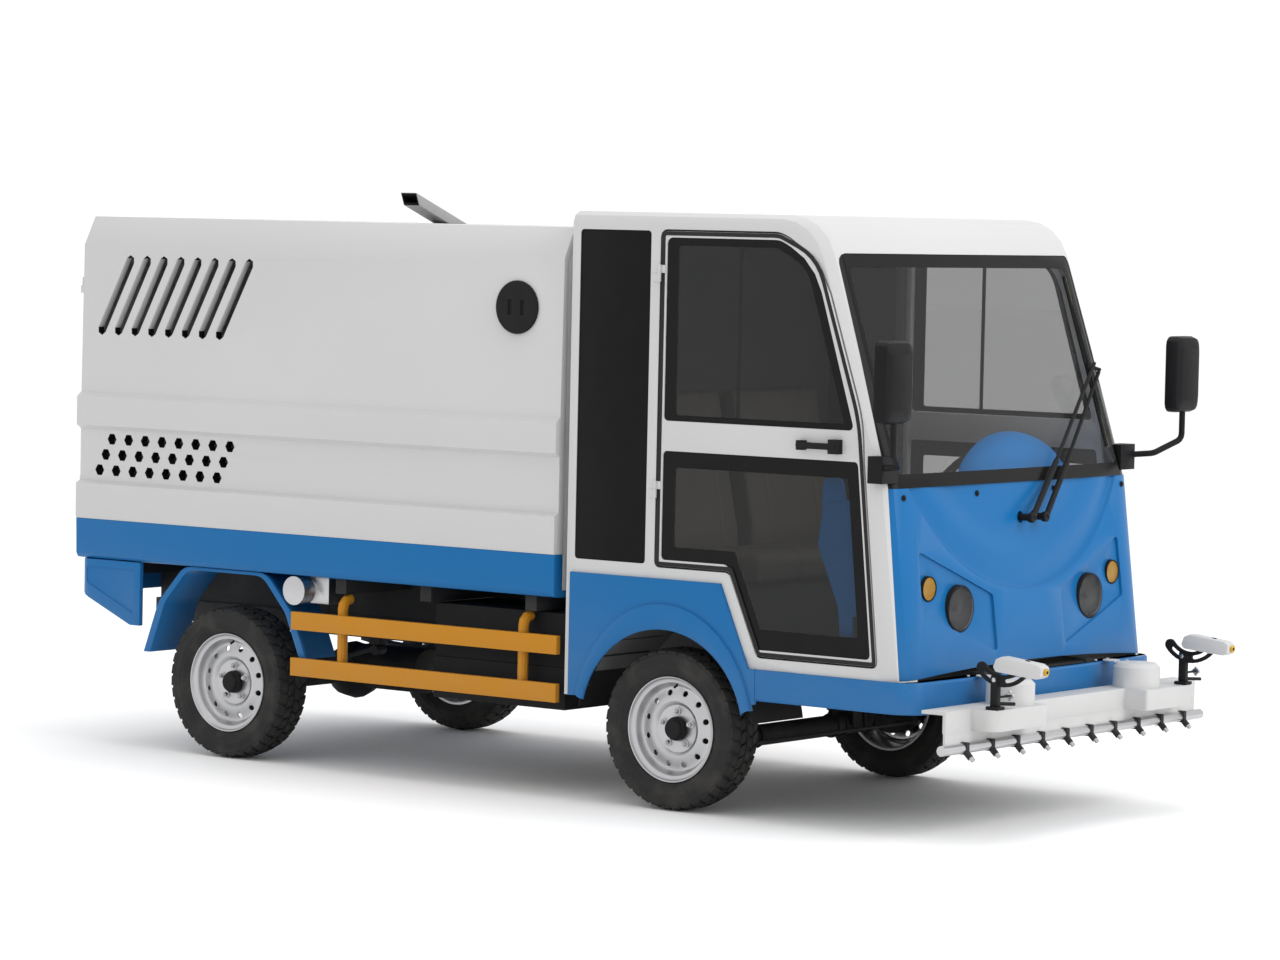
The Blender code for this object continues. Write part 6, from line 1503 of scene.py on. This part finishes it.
class TRUCK_OT_cab_inside(TruckPiece, bpy.types.Operator):
    """Padded seat, instruments, pedals and the inner pillar strips, in blue paint brightened as painted
    light
    """

    bl_idname = "truck.cab_inside"
    bl_label = "Cab inside"

    def execute(self, context):
        low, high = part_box("seat_cushion")
        outline = rounded([
            (high[1] - 0.008, low[2] + 0.006, 0.015), (high[1] - 0.008, high[2] - 0.030, 0.03),
            (low[1] + 0.012, high[2] - 0.012, 0.035), (low[1] + 0.012, low[2] + 0.006, 0.02)])
        cushion = pad("seat_pad", outline, low[0] + PAD_INSET, high[0] - PAD_INSET, SEAT_SEAMS, 0.012)
        coat(cushion, "seat", "seat", "chassis", ("seat_cushion",))
        low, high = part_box("seat_back")
        outline = rounded([
            (high[1] - 0.070, low[2] + 0.008, 0.015), (high[1] - 0.012, high[2] - 0.020, 0.03),
            (high[1] - 0.068, high[2] - 0.016, 0.03), (low[1] + 0.012, low[2] + 0.13, 0.03),
            (low[1] + 0.012, low[2] + 0.008, 0.015)])
        halves = ((low[0] + PAD_INSET, -PAD_GAP), (PAD_GAP, high[0] - PAD_INSET))
        for number, (start, end) in enumerate(halves):
            middle = (start + end) / 2
            seams = (middle - BACK_SEAM, middle + BACK_SEAM)
            back = pad(f"back_pad_{number}", outline, start, end, seams, 0.010)
            coat(back, "seat", "seat", "chassis", ("seat_back",) if number == 0 else ())
        outline = rounded(PILLAR_STRIP)
        for side, sign in SIDES.items():
            strip = plate(f"pillar_strip_{side}", outline, "X", sign * 0.716, sign * 0.730, 0.003)
            # The strips take the blue at double brightness: painted light.
            coat(strip, "inner_blue", "blue")
        self.instruments()
        return {"FINISHED"}

    def instruments(self):
        """Hood, board with two dials, and the pedals."""
        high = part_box("dashboard")[1]
        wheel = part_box("steering_wheel")
        x = (wheel[0][0] + wheel[1][0]) / 2
        rear = face_y("dashboard", x, high[2] - 0.05, 4.0)
        hood = ball("instrument_hood", (HOOD_X, rear - 0.010, HOOD_Z), 1.0, HOOD_SIZE, 24)
        cut_away(hood, block("cutter", (-1.0, rear - 0.001, 0.8), (1.0, rear + 0.5, 1.5)))
        cut_away(hood, block("cutter", (-1.0, rear - 0.5, 0.8), (1.0, rear + 0.5, HOOD_FOOT_Z)))
        # The hood takes the blue at double brightness: painted light.
        coat(smooth(bevel(hood, 0.012, 3), 40.0), "inner_blue", "blue")
        outline = rounded([
            (x - 0.165, high[2] - 0.125, 0.02), (x + 0.165, high[2] - 0.125, 0.02),
            (x + 0.11, high[2] - 0.022, 0.06), (x - 0.11, high[2] - 0.022, 0.06)])
        board = plate("instrument_board", outline, "Y", rear - 0.001, rear + 0.004, 0.0012)
        dials = []
        for shift in DIALS_X:
            place = (x + shift, rear + 0.005, high[2] - 0.074)
            dials.append(ring("dial_bezel", place, "Y", 0.036, 0.0035, 40, 8))
            end = (place[0] - 0.018, rear + 0.006, place[2] + 0.018)
            dials.append(pipe("dial_needle", [place, end], 0.0012))
        coat(board, "satin", "black")
        coat(fuse("instrument_dials", *dials), "steel", "steel")
        floor = CAB_FLOOR_Z
        pedals = []
        for shift in PEDALS_X:
            px = x + shift
            corners = [(px + a, b, floor + c) for a, b, c in PEDAL_PAD]
            pedals.append(slab("pedal_pad", corners, (0.0, -0.008, -0.004), 0.002))
            pedals.append(pipe("pedal_arm", [(px, -1.418, floor + 0.060), (px, -1.455, floor + 0.10),
                                             (px, -1.460, floor + 0.20)], 0.006, 0.03))
        coat(smooth(fuse("pedals", *pedals)), "black", "black")


# Tail

LOCK_X = 0.100
LOCK_SETBACK = 0.0165
LOCK_RISE = 0.0075
HANDLE_REACH = 0.17
BLANK_Z = 0.642


class TRUCK_OT_tail(TruckPiece, bpy.types.Operator):
    """Lock rods, handles and the blank plate at the rear"""

    bl_idname = "truck.tail"
    bl_label = "Tail fittings"

    def execute(self, context):
        for side, sign in SIDES.items():
            low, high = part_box(f"rear_door_{side}")
            body = body_of(f"rear_door_{side}")
            face = high[1] - LOCK_SETBACK
            x = sign * LOCK_X
            middle = (low[2] + high[2]) / 2
            rod = [(x, face + LOCK_RISE, low[2] + 0.02), (x, face + LOCK_RISE, high[2] - 0.03)]
            parts = [pipe("lock_rod", rod, 0.0055)]
            blocks = [("rod_guide", x, z, 0.020, 0.011, 0.0145, 0.003)
                      for z in (low[2] + 0.07, middle - 0.25, middle + 0.25, high[2] - 0.08)]
            blocks.append(("handle_hub", x, middle, 0.016, 0.022, 0.015, 0.003))
            blocks.append(("handle_rest", x + sign * 0.161, middle - 0.015, 0.011, 0.011, 0.008, 0.002))
            for name, at, z, half, rise, depth, edge in blocks:
                start, end = (at - half, face, z - rise), (at + half, face + depth, z + rise)
                parts.append(block(name, start, end, edge))
            handle = [(x, face + 0.009, middle), (x + sign * HANDLE_REACH, face + 0.009, middle - 0.015)]
            parts.append(pipe("lock_handle", handle, 0.0060))
            coat(smooth(fuse(f"lock_gear_{side}", *parts)), "steel", "steel", body)
        rear = face_y("rear_apron", 0.0, 0.64, 4.0)
        outline = rectangle(0.0, BLANK_Z, 0.190, 0.042, 0.010)
        blank = plate("blank_plate", outline, "Y", rear - 0.001, rear + 0.0025, 0.0008)
        coat(blank, "cream", "white")
        return {"FINISHED"}


# Panel and start

OPERATORS = (
    TRUCK_OT_stage,
    TRUCK_OT_bodywork,
    TRUCK_OT_glazing,
    TRUCK_OT_tyres,
    TRUCK_OT_rims,
    TRUCK_OT_lamps,
    TRUCK_OT_nose_fittings,
    TRUCK_OT_spray_gear,
    TRUCK_OT_cab_inside,
    TRUCK_OT_tail,
)


class TRUCK_PT_panel(bpy.types.Panel):
    """Buttons for each group of pieces"""

    bl_idname = "TRUCK_PT_panel"
    bl_label = "Cleaning truck"
    bl_space_type = "VIEW_3D"
    bl_region_type = "UI"
    bl_category = "Cleaning truck"

    def draw(self, context):
        for key in LookSettings.__annotations__:
            self.layout.prop(context.scene.cleaning_truck_look, key)
        for operator in OPERATORS:
            self.layout.operator(operator.bl_idname)


CLASSES = (LookSettings, *OPERATORS, TRUCK_PT_panel)


def register():
    """Adds the classes and the settings to Blender."""
    for kind in CLASSES:
        bpy.utils.register_class(kind)
    bpy.types.Scene.cleaning_truck_look = PointerProperty(type=LookSettings)


def unregister():
    """Takes the classes and the settings out again."""
    del bpy.types.Scene.cleaning_truck_look
    for kind in reversed(CLASSES):
        bpy.utils.unregister_class(kind)


def main():
    """Makes every group of pieces in order."""
    register()
    make_finishes(bpy.context.scene.cleaning_truck_look)
    for operator in OPERATORS:
        group, name = operator.bl_idname.split(".")
        getattr(getattr(bpy.ops, group), name)()


if __name__ == "__main__":
    main()
